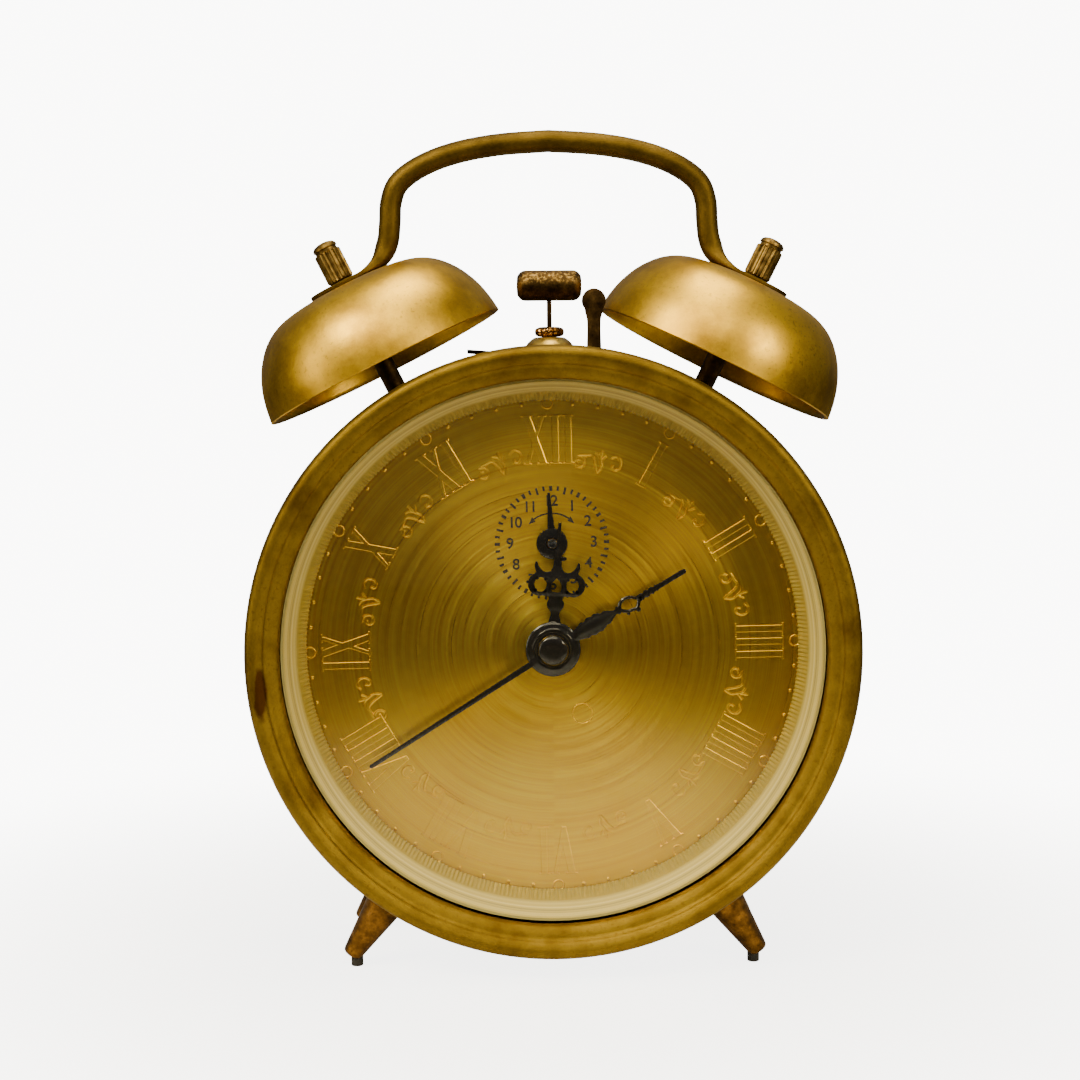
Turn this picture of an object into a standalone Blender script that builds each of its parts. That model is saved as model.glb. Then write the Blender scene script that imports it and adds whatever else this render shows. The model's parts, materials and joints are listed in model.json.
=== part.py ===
"""Twin-bell wind-up alarm clock: case, dial, hands, bells, handle, hammer and the movement inside.

The clock stands on Z = 0 and faces -Y. Lengths are in millimetres until they reach the mesh.
Every turned or flat piece is drawn in a frame whose Z axis is the piece's own axis, and a
"depth" is a distance along -Z of that frame. On the case frame, depth 0 is the bezel's front.
"""

import math

import bmesh
import bpy

MM = 0.001

# Overall
AXIS_HEIGHT = 63.5
FRONT_Y = -30.7
REAR_END = 62.0
GAP = 0.3

# Case
BEZEL_RADIUS = 59.2
DRUM_RADIUS = 57.0
DRUM_WALL = 0.8
DRUM_FRONT = 3.1
DRUM_REAR = 46.0
COVER_THICKNESS = 0.8
COVER_SCREW_CIRCLE = 50.0
DIAL_RADIUS = 51.2
DIAL_FRONT = 15.5
DIAL_THICKNESS = 0.6
ALARM_CENTRE = (0.0, 20.6)

# Feet
FOOT_ANGLE = 33.6
FOOT_END = 73.7
FOOT_BASE_RADIUS = 4.35
FOOT_TIP_RADIUS = 1.95
FOOT_PAD_X = 39.6
FOOT_PAD_RADIUS = 1.2
FOOT_DEPTHS = {"front": 14.0, "rear": 40.0}

# Bells, handle and hammer, all centred on one depth
TOP_DEPTH = 25.0
BELL_X = 33.0
BELL_Z = 55.7
BELL_TILT = 26.5
BELL_RADIUS = 25.6
BELL_HEIGHT = 17.7
BELL_WALL = 1.0
POST_RADIUS = 2.0
STUD_RADIUS = 1.5
NUT_RADIUS = 2.75
NUT_LENGTH = 8.4
HANDLE_BAR_RADIUS = 2.2
TAB_THICKNESS = 1.1
TAB_WIDTH = 9.6
HAMMER_PIVOT_Z = 52.0
HAMMER_HEAD_Z = 71.8
HAMMER_HEAD_RADIUS = 3.05
HAMMER_HEAD_LENGTH = 13.1
HAMMER_WIRE_RADIUS = 0.5
BOSS_SLOT = (4.9, 1.7)
PADDLE_PLACE = (8.6, -9.3, 0)

# Hands: clock angles in degrees, clockwise from twelve
HOUR_ANGLE = 3.6
MINUTE_ANGLE = 59.5
SECOND_ANGLE = 237.7
ALARM_ANGLE = -3.4

# Movement
FRONT_PLATE = (22.0, 23.0)
REAR_PLATE = (38.0, 39.0)
PIVOTS = (FRONT_PLATE[1] + 0.4, REAR_PLATE[0] - 0.4)
PILLARS = ((-29.0, 33.0), (29.0, 33.0), (-29.0, -33.0), (29.0, -33.0))
MESH_CLEARANCE = 0.1
MOTION_MODULE = 0.8583
CANNON_MODULE = 0.8047
CENTRE_MODULE = 0.47
THIRD_MODULE = 0.4976
BARREL_MODULE = 0.9333

# Colour (linear), roughness and metallic value of each finish
FINISHES = {
    "aged_brass": ((0.36, 0.24, 0.05), 0.42, 1.0),
    "satin_brass": ((0.52, 0.38, 0.12), 0.35, 1.0),
    "brushed_brass": ((0.55, 0.43, 0.08), 0.28, 1.0),
    "dark_bronze": ((0.08, 0.05, 0.02), 0.5, 1.0),
    "movement_brass": ((0.62, 0.47, 0.18), 0.3, 1.0),
    "steel": ((0.45, 0.45, 0.46), 0.3, 1.0),
    "black_gloss": ((0.01, 0.01, 0.01), 0.18, 0.0),
    "cream_plastic": ((0.72, 0.71, 0.6), 0.45, 0.0),
    "clear_glass": ((0.95, 0.97, 0.96), 0.03, 0.0),
}


def clear_scene():
    for obj in list(bpy.data.objects):
        bpy.data.objects.remove(obj)


def new_collection(name):
    collection = bpy.data.collections.new(name)
    bpy.context.scene.collection.children.link(collection)
    return collection


def finish_material(name):
    """The named finish as a Principled material, made once."""
    found = bpy.data.materials.get(name)
    if found:
        return found
    colour, roughness, metallic = FINISHES[name]
    made = bpy.data.materials.new(name)
    made.use_nodes = True
    shader = made.node_tree.nodes["Principled BSDF"]
    shader.inputs["Base Color"].default_value = (*colour, 1.0)
    shader.inputs["Roughness"].default_value = roughness
    shader.inputs["Metallic"].default_value = metallic
    return made


def frame(name, at, turn=(0, 0, 0), parent=None):
    """An empty that pieces are placed from."""
    empty = bpy.data.objects.new(name, None)
    parts.objects.link(empty)
    return placed(empty, parent, at, turn)


def placed(obj, parent, at, turn):
    obj.parent = parent
    obj.location = [value * MM for value in at]
    obj.rotation_euler = [math.radians(angle) for angle in turn]
    return obj


def add_piece(name, data, finish, parent, at, turn):
    obj = bpy.data.objects.new(name, data)
    parts.objects.link(obj)
    data.materials.append(finish_material(finish))
    return placed(obj, parent, at, turn)


def turned(name, finish, profile, parent, at=(0, 0, 0), turn=(0, 0, 0), steps=32):
    """A piece turned about its Z axis. The profile is (radius, depth) from front to back outside."""
    shape = bmesh.new()
    points = [shape.verts.new((radius * MM, 0, -depth * MM)) for radius, depth in profile]
    for first, second in zip(points, points[1:]):
        shape.edges.new((first, second))
    if profile[0][0] > 0:
        shape.edges.new((points[-1], points[0]))
    mesh = bpy.data.meshes.new(name)
    shape.to_mesh(mesh)
    shape.free()
    obj = add_piece(name, mesh, finish, parent, at, turn)
    screw = obj.modifiers.new("turn", "SCREW")
    screw.axis = "Z"
    screw.steps = steps
    screw.render_steps = steps
    screw.use_merge_vertices = True
    screw.merge_threshold = 0.00001
    return obj


def rod(name, finish, radius, near, far, parent, at=(0, 0, 0), turn=(0, 0, 0), steps=10):
    profile = [(0, near), (radius, near), (radius, far), (0, far)]
    return turned(name, finish, profile, parent, at, turn, steps)


def tube(name, finish, inner, outer, near, far, parent, at=(0, 0, 0), steps=16):
    profile = [(inner, near), (outer, near), (outer, far), (inner, far)]
    return turned(name, finish, profile, parent, at, steps=steps)


def curve_piece(name, kind, finish, parent, at, turn):
    curve = bpy.data.curves.new(name, "CURVE")
    curve.dimensions = kind
    return add_piece(name, curve, finish, parent, at, turn), curve


def flat(name, finish, outlines, near, far, parent, at=(0, 0), turn=(0, 0, 0)):
    """A flat piece between two depths. The first outline is its edge and the others are holes."""
    middle = (near + far) / 2
    spot = (at[0], at[1], -middle)
    obj, curve = curve_piece(name, "2D", finish, parent, spot, turn)
    curve.fill_mode = "BOTH"
    curve.extrude = (far - near) / 2 * MM
    for outline in outlines:
        spline = curve.splines.new("POLY")
        spline.points.add(len(outline) - 1)
        for point, (x, y) in zip(spline.points, outline):
            point.co = (x * MM, y * MM, 0, 1)
        spline.use_cyclic_u = True
    return as_mesh(obj)


def as_mesh(obj):
    """The curve object made a mesh with its caps welded on."""
    bpy.context.view_layer.update()
    graph = bpy.context.evaluated_depsgraph_get()
    mesh = bpy.data.meshes.new_from_object(obj.evaluated_get(graph))
    shape = bmesh.new()
    shape.from_mesh(mesh)
    bmesh.ops.remove_doubles(shape, verts=shape.verts, dist=0.000001)
    bmesh.ops.recalc_face_normals(shape, faces=shape.faces)
    shape.to_mesh(mesh)
    shape.free()
    name, parent = obj.name, obj.parent
    place, turn = obj.location.copy(), obj.rotation_euler.copy()
    bpy.data.objects.remove(obj)
    solid = bpy.data.objects.new(name, mesh)
    parts.objects.link(solid)
    solid.parent = parent
    solid.location = place
    solid.rotation_euler = turn
    return solid


def combine(base, other, operation):
    """Joins the other shape to the base, or cuts it away, and puts it with the cutters."""
    change = base.modifiers.new(other.name, "BOOLEAN")
    change.operation = operation
    change.object = other
    parts.objects.unlink(other)
    cutters.objects.link(other)
    other.hide_render = True
    other.display_type = "WIRE"


def join(base, *others):
    for other in others:
        combine(base, other, "UNION")
    return base


def cut(base, *others):
    for other in others:
        combine(base, other, "DIFFERENCE")
    return base


def box(name, size, parent, at):
    """A block that joins or cuts another piece."""
    mesh = bpy.data.meshes.new(name)
    shape = bmesh.new()
    bmesh.ops.create_cube(shape, size=1.0)
    bmesh.ops.scale(shape, vec=[side * MM for side in size], verts=shape.verts)
    shape.to_mesh(mesh)
    shape.free()
    return add_piece(name, mesh, "dark_bronze", parent, at, (0, 0, 0))


def polar(radius, angle):
    return (
        radius * math.cos(math.radians(angle)),
        radius * math.sin(math.radians(angle)),
    )


def arc(radius, start, end, count, centre=(0.0, 0.0)):
    """Points along an arc, its angles in degrees anticlockwise from +X."""
    points = []
    for index in range(count + 1):
        x, y = polar(radius, start + (end - start) * index / count)
        points.append((x + centre[0], y + centre[1]))
    return points


def ring(radius, count=16, centre=(0.0, 0.0)):
    return arc(radius, 0, 360, count, centre)[:-1]


def mirrored(half):
    """A closed outline from its right half, listed top to bottom."""
    left = [(-x, y) for x, y in reversed(half) if x != 0]
    return half + left


def gear(teeth, module, phase):
    """Outline of a gear with one tooth centred on the phase angle."""
    pitch = 360 / teeth
    root = module * (teeth / 2 - 1.15)
    tip = module * (teeth / 2 + 0.8)
    points = []
    for index in range(teeth):
        middle = phase + index * pitch
        for radius, share in ((root, -0.28), (tip, -0.1), (tip, 0.1), (root, 0.28)):
            points.append(polar(radius, middle + share * pitch))
    return points


def saw_wheel(teeth, root, tip):
    """Outline of a wheel whose teeth lean one way."""
    points = []
    for index in range(teeth):
        start = index * 360 / teeth
        points.append(polar(root, start))
        points.append(polar(tip, start + 4))
        points.append(polar(root + 0.2, start + 200 / teeth))
    return points


def meshing_phase(phase, teeth, direction, other_teeth):
    """Phase of the gear found in that direction, so that its gap takes this gear's tooth."""
    return direction + 180 + (180 - (phase - direction) * teeth) / other_teeth


def hand_outline(hub_radius, blade):
    """Outline of a hand along +Y: its hub, then a blade of (distance, half width) points."""
    opening = math.degrees(math.asin(blade[0][1] / hub_radius))
    hub = arc(hub_radius, 90 + opening, 450 - opening, 18)
    right = [(width, along) for along, width in blade[1:]]
    left = [(-x, y) for x, y in reversed(right)]
    return hub + right + left


def make_case(case):
    bezel = [
        (51.9, 3.0), (53.2, 1.9), (55.2, 1.1), (55.8, 0.5), (57.4, 0.0), (BEZEL_RADIUS, 1.9),
        (BEZEL_RADIUS, 8.0), (57.4, 8.0), (57.4, 2.9), (55.6, 2.3), (52.8, 4.1), (51.9, 4.1),
    ]
    turned("bezel", "aged_brass", bezel, case, steps=40)
    glass_front = [(0, 1.0), (26, 1.9), (46, 3.9), (52.5, 4.8)]
    glass_back = [(52.5, 6.0), (45.5, 5.1), (26, 3.1), (0, 2.2)]
    turned("crystal", "clear_glass", glass_front + glass_back, case, steps=32)
    reflector = [(51.6, 6.3), (52.8, 6.3), (51.5, 12.2), (51.2, 15.2), (48.9, 15.2), (50.4, 12.0)]
    turned("reflector_ring", "cream_plastic", reflector, case, steps=40)
    dial_holes = [ring(3.0), ring(1.3, 12, ALARM_CENTRE)]
    dial_rear = DIAL_FRONT + DIAL_THICKNESS
    flat("dial", "brushed_brass", [ring(DIAL_RADIUS, 40), *dial_holes], DIAL_FRONT, dial_rear, case)
    make_drum(case)
    make_back(case)


def make_drum(case):
    """The case band, with holes for the feet and bell studs and a slot for the hammer's wire."""
    inner = DRUM_RADIUS - DRUM_WALL
    loop = [(inner, DRUM_FRONT), (DRUM_RADIUS, DRUM_FRONT), (DRUM_RADIUS, DRUM_REAR), (inner, DRUM_REAR)]
    drum = turned("case_drum", "aged_brass", loop, case, steps=40)
    for row, depth in FOOT_DEPTHS.items():
        for side in (-1, 1):
            leg = frame(f"foot_hole_axis_{row}_{side}", (0, FRONT_Y + depth, AXIS_HEIGHT), (0, -side * FOOT_ANGLE, 0))
            cut(drum, rod(f"foot_hole_{row}_{side}", "steel", STUD_RADIUS + 0.4, 50, 60, leg))
    for side in (-1, 1):
        hole = rod(f"bell_hole_{side}", "steel", STUD_RADIUS + 0.5, 4.0, 14.0, bell_frames[side])
        cut(drum, hole)
    length, width = BOSS_SLOT
    slot_place = (0, FRONT_Y + TOP_DEPTH, AXIS_HEIGHT + DRUM_RADIUS)
    cut(drum, box("drum_slot", (length, width, 4), None, slot_place))


def make_back(case):
    near = DRUM_REAR + GAP
    far = near + COVER_THICKNESS
    screw_spots = [polar(COVER_SCREW_CIRCLE, angle) for angle in (90, 210, 330)]
    holes = [
        ring(2.0, 12, BARREL_SPOT),
        ring(2.0, 12, ALARM_BARREL_SPOT),
        ring(1.5, 12, MINUTE_WHEEL_SPOT),
        ring(1.5, 12, ALARM_CENTRE),
    ]
    holes += [ring(1.3, 10, spot) for spot in screw_spots]
    slot = arc(REGULATOR_REACH + 1.4, 111, 159, 8, BALANCE_SPOT)
    slot += arc(REGULATOR_REACH - 1.4, 159, 111, 8, BALANCE_SPOT)
    flat("back_cover", "aged_brass", [ring(DRUM_RADIUS - 0.1, 40), *holes, slot], near, far, case)
    for number, (x, y) in enumerate(screw_spots, 1):
        head = far + GAP
        profile = [(0, near - 5), (0.95, near - 5), (0.95, head), (2.6, head), (2.4, head + 0.9)]
        profile += [(1.3, head + 1.4), (0, head + 1.5)]
        screw = turned(f"cover_screw_{number}", "dark_bronze", profile, case, (x, y, 0), steps=16)
        cut(screw, box(f"screw_slot_{number}", (6, 0.7, 1.2), case, (x, y, -head - 1.5)))


def make_feet():
    for row, depth in FOOT_DEPTHS.items():
        for side, word in ((-1, "left"), (1, "right")):
            place = (0, FRONT_Y + depth, AXIS_HEIGHT)
            leg = frame(f"foot_axis_{row}_{word}", place, (0, -side * FOOT_ANGLE, 0))
            seat = DRUM_RADIUS + GAP
            profile = [(0, seat - 3.8), (STUD_RADIUS, seat - 3.8), (STUD_RADIUS, seat)]
            profile += [(FOOT_BASE_RADIUS, seat), (FOOT_TIP_RADIUS, FOOT_END), (0, FOOT_END)]
            foot = turned(f"foot_{row}_{word}", "dark_bronze", profile, leg, steps=16)
            pad_place = (side * FOOT_PAD_X, FRONT_Y + depth, 0)
            pad = rod(f"foot_pad_{row}_{word}", "black_gloss", FOOT_PAD_RADIUS, -2.6, 0, None, pad_place)
            join(foot, pad)


def bell_profile():
    """The bell's wall as a closed loop, crown to rim outside and back up inside. Depth is -height."""
    outer = [(15.8, 16.9), (18.7, 15.4), (22.6, 10.7), (24.8, 4.7), (BELL_RADIUS, 0.0)]
    inner = [(BELL_RADIUS - BELL_WALL, 0.0), (23.8, 4.5), (21.7, 10.2), (18.0, 14.5), (15.5, 15.9)]
    hole = STUD_RADIUS + 0.4
    loop = [(hole, BELL_HEIGHT), *outer, *inner, (hole, BELL_HEIGHT - BELL_WALL)]
    return [(radius, -height) for radius, height in loop]


def make_bells():
    """Each bell sits on its post, under the handle's end and a knurled nut."""
    for side, word in ((-1, "left"), (1, "right")):
        seat = bell_frames[side]
        turned(f"bell_{word}", "satin_brass", bell_profile(), seat, steps=32)
        crown = BELL_HEIGHT - BELL_WALL - GAP
        tab_top = BELL_HEIGHT + GAP + TAB_THICKNESS
        post = [(0, -tab_top), (STUD_RADIUS, -tab_top), (STUD_RADIUS, -crown), (POST_RADIUS, -crown)]
        post += [(POST_RADIUS, 7.0), (STUD_RADIUS, 7.0), (STUD_RADIUS, 11.0), (0, 11.0)]
        turned(f"bell_post_{word}", "dark_bronze", post, seat, steps=16)
        low = tab_top + GAP
        top = low + NUT_LENGTH
        nut = [(0, -top), (1.6, -top + 0.3), (NUT_RADIUS, -top + 1.3), (NUT_RADIUS, -low), (0, -low)]
        turned(f"bell_nut_{word}", "dark_bronze", nut, seat, steps=20)


def make_handle():
    """A round bar bent over the top, its ends flattened into tabs on the bells."""
    half = [
        (0, 100.5, 1), (10.2, 99.8, 1), (18.8, 98.2, 1), (25.4, 95.7, 1), (30.2, 92.6, 1),
        (31.6, 88.6, 1), (31.8, 84.5, 1), (32.4, 80.2, 1), (33.7, 77.0, 0.8),
        (35.4, 75.6, 0.45), (37.7, 74.1, 0.2),
    ]
    path = [(-x, z, size) for x, z, size in reversed(half[1:])] + half
    place = (0, FRONT_Y + TOP_DEPTH, AXIS_HEIGHT)
    bar, curve = curve_piece("handle", "3D", "aged_brass", None, place, (0, 0, 0))
    curve.bevel_depth = HANDLE_BAR_RADIUS * MM
    curve.bevel_resolution = 2
    curve.resolution_u = 2
    curve.use_fill_caps = True
    spline = curve.splines.new("BEZIER")
    spline.bezier_points.add(len(path) - 1)
    for point, (x, z, size) in zip(spline.bezier_points, path):
        point.co = (x * MM, 0, z * MM)
        point.handle_left_type = "AUTO"
        point.handle_right_type = "AUTO"
        point.radius = size
    bar = as_mesh(bar)
    low = BELL_HEIGHT + GAP
    for side in (-1, 1):
        seat = bell_frames[side]
        outline = [(-8.0, -3.2), (-5.5, -TAB_WIDTH / 2), (0, -TAB_WIDTH / 2)]
        outline += arc(TAB_WIDTH / 2, -90, 90, 8, (2.3, 0))
        outline += [(0, TAB_WIDTH / 2), (-5.5, TAB_WIDTH / 2), (-8.0, 3.2)]
        outline = [(side * x, y) for x, y in outline]
        hole = ring(STUD_RADIUS + 0.4, 12)
        tab = flat(f"handle_tab_{side}", "aged_brass", [outline, hole], -low - TAB_THICKNESS, -low, seat)
        join(bar, tab)


def make_hammer_seat():
    """The washer and the knurled bush on the case top that the hammer's wire comes up through."""
    top = frame("hammer_seat_axis", (0, FRONT_Y + TOP_DEPTH, AXIS_HEIGHT))
    boss = [(0, -60.6), (3.4, -60.6), (4.4, -60.2), (5.0, -59.4), (5.0, -58.5), (3.2, -58.5)]
    boss += [(3.2, -57.3), (0, -57.3)]
    boss = turned("hammer_boss", "aged_brass", boss, top, steps=20)
    bush = [(0, -63.3), (2.5, -63.3), (2.95, -62.9), (2.95, -61.3), (2.6, -60.9), (0, -60.9)]
    bush = turned("hammer_bush", "aged_brass", bush, top, steps=16)
    length, width = BOSS_SLOT
    for piece in (boss, bush):
        cut(piece, box(f"{piece.name}_slot", (length, width, 12), top, (0, 0, 60)))


def make_hammer():
    pivot = frame("hammer_pivot", (0, HAMMER_PIVOT_Z, 0), parent=case)
    reach = HAMMER_HEAD_Z - HAMMER_PIVOT_Z
    swing = (0, reach, -TOP_DEPTH)
    half = HAMMER_HEAD_LENGTH / 2
    head = [(0, -half), (1.9, -half + 0.1), (2.7, -half + 0.7), (HAMMER_HEAD_RADIUS, -half + 1.7)]
    head += [(radius, -depth) for radius, depth in reversed(head)]
    turned("hammer_head", "dark_bronze", head, pivot, swing, (0, 90, 0), steps=20)
    low = 0.8 + GAP
    high = reach - HAMMER_HEAD_RADIUS - GAP
    wire_base = (0, 0, -TOP_DEPTH)
    rod("hammer_wire", "dark_bronze", HAMMER_WIRE_RADIUS, low, high, pivot, wire_base, (90, 0, 0))
    arm = [(-0.9, 0), (-1.2, -30), (-2.4, -33), (-2.4, -35.4), (0, -33.6), (2.4, -35.4), (2.4, -33)]
    arm += [(1.2, -30), (0.9, 0)]
    turn = (0, 0, HAMMER_ARM_ANGLE)
    verge = flat("hammer_verge", "steel", [arm], 29.0, 30.0, pivot, turn=turn)
    join(verge, rod("hammer_arbor", "steel", 0.8, *PIVOTS, pivot))
    join(verge, tube_collar("hammer_collar", 1.6, 28.2, 30.8, pivot))


def tube_collar(name, radius, near, far, parent):
    return rod(name, "steel", radius, near, far, parent, steps=14)


def make_stop_lever():
    """A thin lever under the washer, its right end bent up into a round paddle."""
    pivot = frame("stop_lever_pivot", (0, FRONT_Y + TOP_DEPTH, AXIS_HEIGHT))
    right = [(5.0, -3.2), (9.3, -7.4), (9.9, -9.6), (7.3, -9.8), (6.4, -8.2)]
    left = [(-3.4, 3.2), (-16.7, 17.2), (-17.1, 16.9), (-4.4, 1.4)]
    outline = arc(4.6, -30, 118, 10) + left + arc(4.6, 168, 288, 8) + right[::-1]
    strip = flat("stop_lever", "dark_bronze", [outline, ring(3.6)], -58.2, -57.3, pivot)
    stem = [(-1.45, 57.5), (1.45, 57.5), (1.25, 62.0), (1.0, 66.1)]
    stem += arc(2.4, -65, 245, 14, (0, 68.2)) + [(-1.0, 66.1), (-1.25, 62.0)]
    paddle = flat("stop_paddle", "dark_bronze", [stem], -0.45, 0.45, pivot, turn=(90, 0, 0))
    paddle.location = [value * MM for value in PADDLE_PLACE]
    join(strip, paddle)


def axle_wheel(name, finish, spot, radius, near, far, wheels):
    """An arbor with its wheels and pinions joined to it. Each wheel is (outline, near, far)."""
    place = frame(f"{name}_axis", (*spot, 0), parent=case)
    arbor = rod(name, finish, radius, near, far, place)
    for number, (outline, front, rear) in enumerate(wheels, 1):
        join(arbor, flat(f"{name}_wheel_{number}", finish, [outline], front, rear, place))
    return place


def make_motion_work():
    """The wheels behind the dial that turn the hour hand and the alarm wheel from the minute hand."""
    minute_direction = MINUTE_WHEEL_DIRECTION
    cannon_phase = minute_direction
    wheel_phase = meshing_phase(cannon_phase, 8, minute_direction, 24)
    pinion_phase = minute_direction + 180
    hour_phase = meshing_phase(pinion_phase, 6, minute_direction + 180, 24)
    alarm_phase = meshing_phase(hour_phase, 24, 90, 24)
    cannon = tube("cannon_pinion", "steel", 1.3, 1.7, 11.7, 21.6, case)
    teeth = [gear(8, CANNON_MODULE, cannon_phase), ring(1.5)]
    join(cannon, flat("cannon_teeth", "steel", teeth, 19.3, 21.2, case))
    hour = tube("hour_wheel", "movement_brass", 2.0, 2.5, 13.2, 18.6, case)
    teeth = [gear(24, MOTION_MODULE, hour_phase), ring(2.25)]
    join(hour, flat("hour_teeth", "movement_brass", teeth, 17.0, 18.0, case))
    wheels = [
        (gear(6, MOTION_MODULE, pinion_phase), 16.7, 18.4),
        (gear(24, CANNON_MODULE, wheel_phase), 19.8, 20.8),
    ]
    knob_front = REAR_END - 12.0
    place = axle_wheel("minute_wheel", "movement_brass", MINUTE_WHEEL_SPOT, 0.6, 16.6, knob_front - GAP, wheels)
    make_knob("time_set_knob", 5.2, place)
    alarm_axis = frame("alarm_wheel_axis", (*ALARM_CENTRE, 0), parent=case)
    outline = [gear(24, MOTION_MODULE, alarm_phase), ring(1.3)]
    flat("alarm_wheel", "movement_brass", outline, 17.0, 18.0, alarm_axis)


def make_knob(name, radius, parent):
    front = REAR_END - 12.0
    rear = front + 6.5
    knob = [(0, front), (2.0, front), (2.0, front + 1.2), (radius - 0.5, front + 1.4)]
    knob += [(radius, front + 2.0), (radius, rear - 0.6), (radius - 0.6, rear), (0, rear)]
    turned(name, "aged_brass", knob, parent, steps=20)


def make_going_train():
    """Barrel, centre, third, fourth and escape wheels, then the pallet lever and the balance."""
    barrel_phase = BARREL_DIRECTION + 180
    pinion_phase = meshing_phase(barrel_phase, 42, BARREL_DIRECTION + 180, 6)
    centre_phase = THIRD_DIRECTION
    third_pinion = meshing_phase(centre_phase, 48, THIRD_DIRECTION, 6)
    third_phase = THIRD_DIRECTION + 180
    fourth_pinion = meshing_phase(third_phase, 45, THIRD_DIRECTION + 180, 6)
    fourth_phase = ESCAPE_DIRECTION
    escape_pinion = meshing_phase(fourth_phase, 48, ESCAPE_DIRECTION, 6)
    centre = tube("centre_wheel", "movement_brass", 0.8, 1.2, 12.0, 29.0, case)
    teeth = [gear(6, BARREL_MODULE, pinion_phase), ring(1.0)]
    join(centre, flat("centre_pinion", "steel", teeth, 24.0, 26.3, case))
    teeth = [gear(48, CENTRE_MODULE, centre_phase), ring(1.0)]
    join(centre, flat("centre_teeth", "movement_brass", teeth, 27.0, 28.0, case))
    wheels = [
        (gear(6, CENTRE_MODULE, third_pinion), 26.6, 28.4),
        (gear(45, THIRD_MODULE, third_phase), 31.0, 32.0),
    ]
    axle_wheel("third_wheel", "movement_brass", THIRD_SPOT, 0.6, *PIVOTS, wheels)
    wheels = [
        (gear(6, THIRD_MODULE, fourth_pinion), 30.6, 32.4),
        (gear(48, CENTRE_MODULE, fourth_phase), 34.0, 35.0),
    ]
    axle_wheel("fourth_wheel", "movement_brass", (0, 0), 0.5, 9.9, PIVOTS[1], wheels)
    wheels = [
        (gear(6, CENTRE_MODULE, escape_pinion), 33.6, 35.4),
        (saw_wheel(15, 4.6, 6.0), 36.0, 36.8),
    ]
    axle_wheel("escape_wheel", "movement_brass", ESCAPE_SPOT, 0.5, *PIVOTS, wheels)
    make_barrel("mainspring_barrel", BARREL_SPOT, gear(42, BARREL_MODULE, barrel_phase))
    make_key("time", BARREL_SPOT)
    make_pallet_lever()
    make_balance()


def make_barrel(name, spot, teeth):
    """A spring drum with a toothed edge, turning on its winding arbor."""
    place = frame(f"{name}_axis", (*spot, 0), parent=case)
    drum = tube(name, "movement_brass", 1.7, 9.9, 25.2, 35.0, place, steps=20)
    join(drum, flat(f"{name}_teeth", "movement_brass", [teeth, ring(5.0)], 24.5, 25.5, place))


def make_key(word, spot):
    """A winding arbor and the winged key on its end."""
    place = frame(f"{word}_key_axis", (*spot, 0), parent=case)
    start = 50.0
    rod(f"{word}_winding_arbor", "steel", 1.3, PIVOTS[0], start - GAP, place)
    hub = [(0, start), (2.9, start), (2.9, start + 2.5), (2.3, start + 5.0), (2.3, start + 9.0), (0, start + 9.6)]
    key = turned(f"{word}_key", "aged_brass", hub, place, steps=16)
    half = [(0, -53.5), (2.4, -53.5), (7.0, -52.2), (10.6, -52.8), (12.3, -55.2), (12.3, -58.8)]
    half += [(10.6, -61.2), (7.0, -REAR_END), (2.6, -60.0), (0, -60.0)]
    wings = flat(f"{word}_key_wings", "aged_brass", [mirrored(half)], -0.8, 0.8, place, turn=(90, 0, KEY_TURN))
    wings.location = (0, 0, 0)
    join(key, wings)


def make_pallet_lever():
    """The anchor over the escape wheel and its fork by the balance staff."""
    place = frame("pallet_axis", (*PALLET_SPOT, 0), parent=case)
    anchor = mirrored([(0, 1.0), (3.2, 0.8), (5.2, -2.4), (4.2, -2.6), (2.6, -0.6), (0, -0.9)])
    direction = math.degrees(math.atan2(ESCAPE_SPOT[1] - PALLET_SPOT[1], ESCAPE_SPOT[0] - PALLET_SPOT[0]))
    lever = flat("pallet_lever", "steel", [anchor], 36.0, 36.8, place, turn=(0, 0, direction + 90))
    fork = [(-0.7, 0), (-0.5, 6.2), (-1.3, 7.4), (-0.7, 8.2), (0, 7.2), (0.7, 8.2), (1.3, 7.4)]
    fork += [(0.5, 6.2), (0.7, 0)]
    away = math.degrees(math.atan2(BALANCE_SPOT[1] - PALLET_SPOT[1], BALANCE_SPOT[0] - PALLET_SPOT[0]))
    join(lever, flat("pallet_fork", "steel", [fork], 36.1, 36.7, place, turn=(0, 0, away - 90)))
    join(lever, rod("pallet_arbor", "steel", 0.5, 32.6, PIVOTS[1], place))


def make_balance():
    """The balance wheel with its spring above it, and the lever that regulates the spring."""
    place = frame("balance_axis", (*BALANCE_SPOT, 0), parent=case)
    window = arc(7.4, 12, 168, 10) + arc(1.6, 150, 30, 4)
    windows = [window, [(-x, -y) for x, y in window]]
    wheel = flat("balance_wheel", "movement_brass", [ring(8.5, 32), *windows], 30.0, 31.2, place)
    join(wheel, rod("balance_staff", "steel", 0.5, *PIVOTS, place))
    turns, steps, thickness = 3, 33, 0.3
    inner = [polar(1.0 + 4.2 * step / steps, 360 * turns * step / steps) for step in range(steps + 1)]
    outer = [polar(1.0 + thickness + 4.2 * step / steps, 360 * turns * step / steps) for step in range(steps + 1)]
    flat("hairspring", "steel", [inner + outer[::-1]], 33.0, 33.8, place)
    regulator = hand_outline(2.6, [(2.0, 1.4), (REGULATOR_REACH, 1.0), (REGULATOR_REACH + 1.0, 0.4)])
    lever = flat("regulator_lever", "steel", [regulator], 39.3, 40.1, place, turn=(0, 0, 45))
    x, y = polar(REGULATOR_REACH, 135)
    join(lever, rod("regulator_pin", "steel", 0.8, 39.6, 50.5, place, (x, y, 0)))


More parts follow.
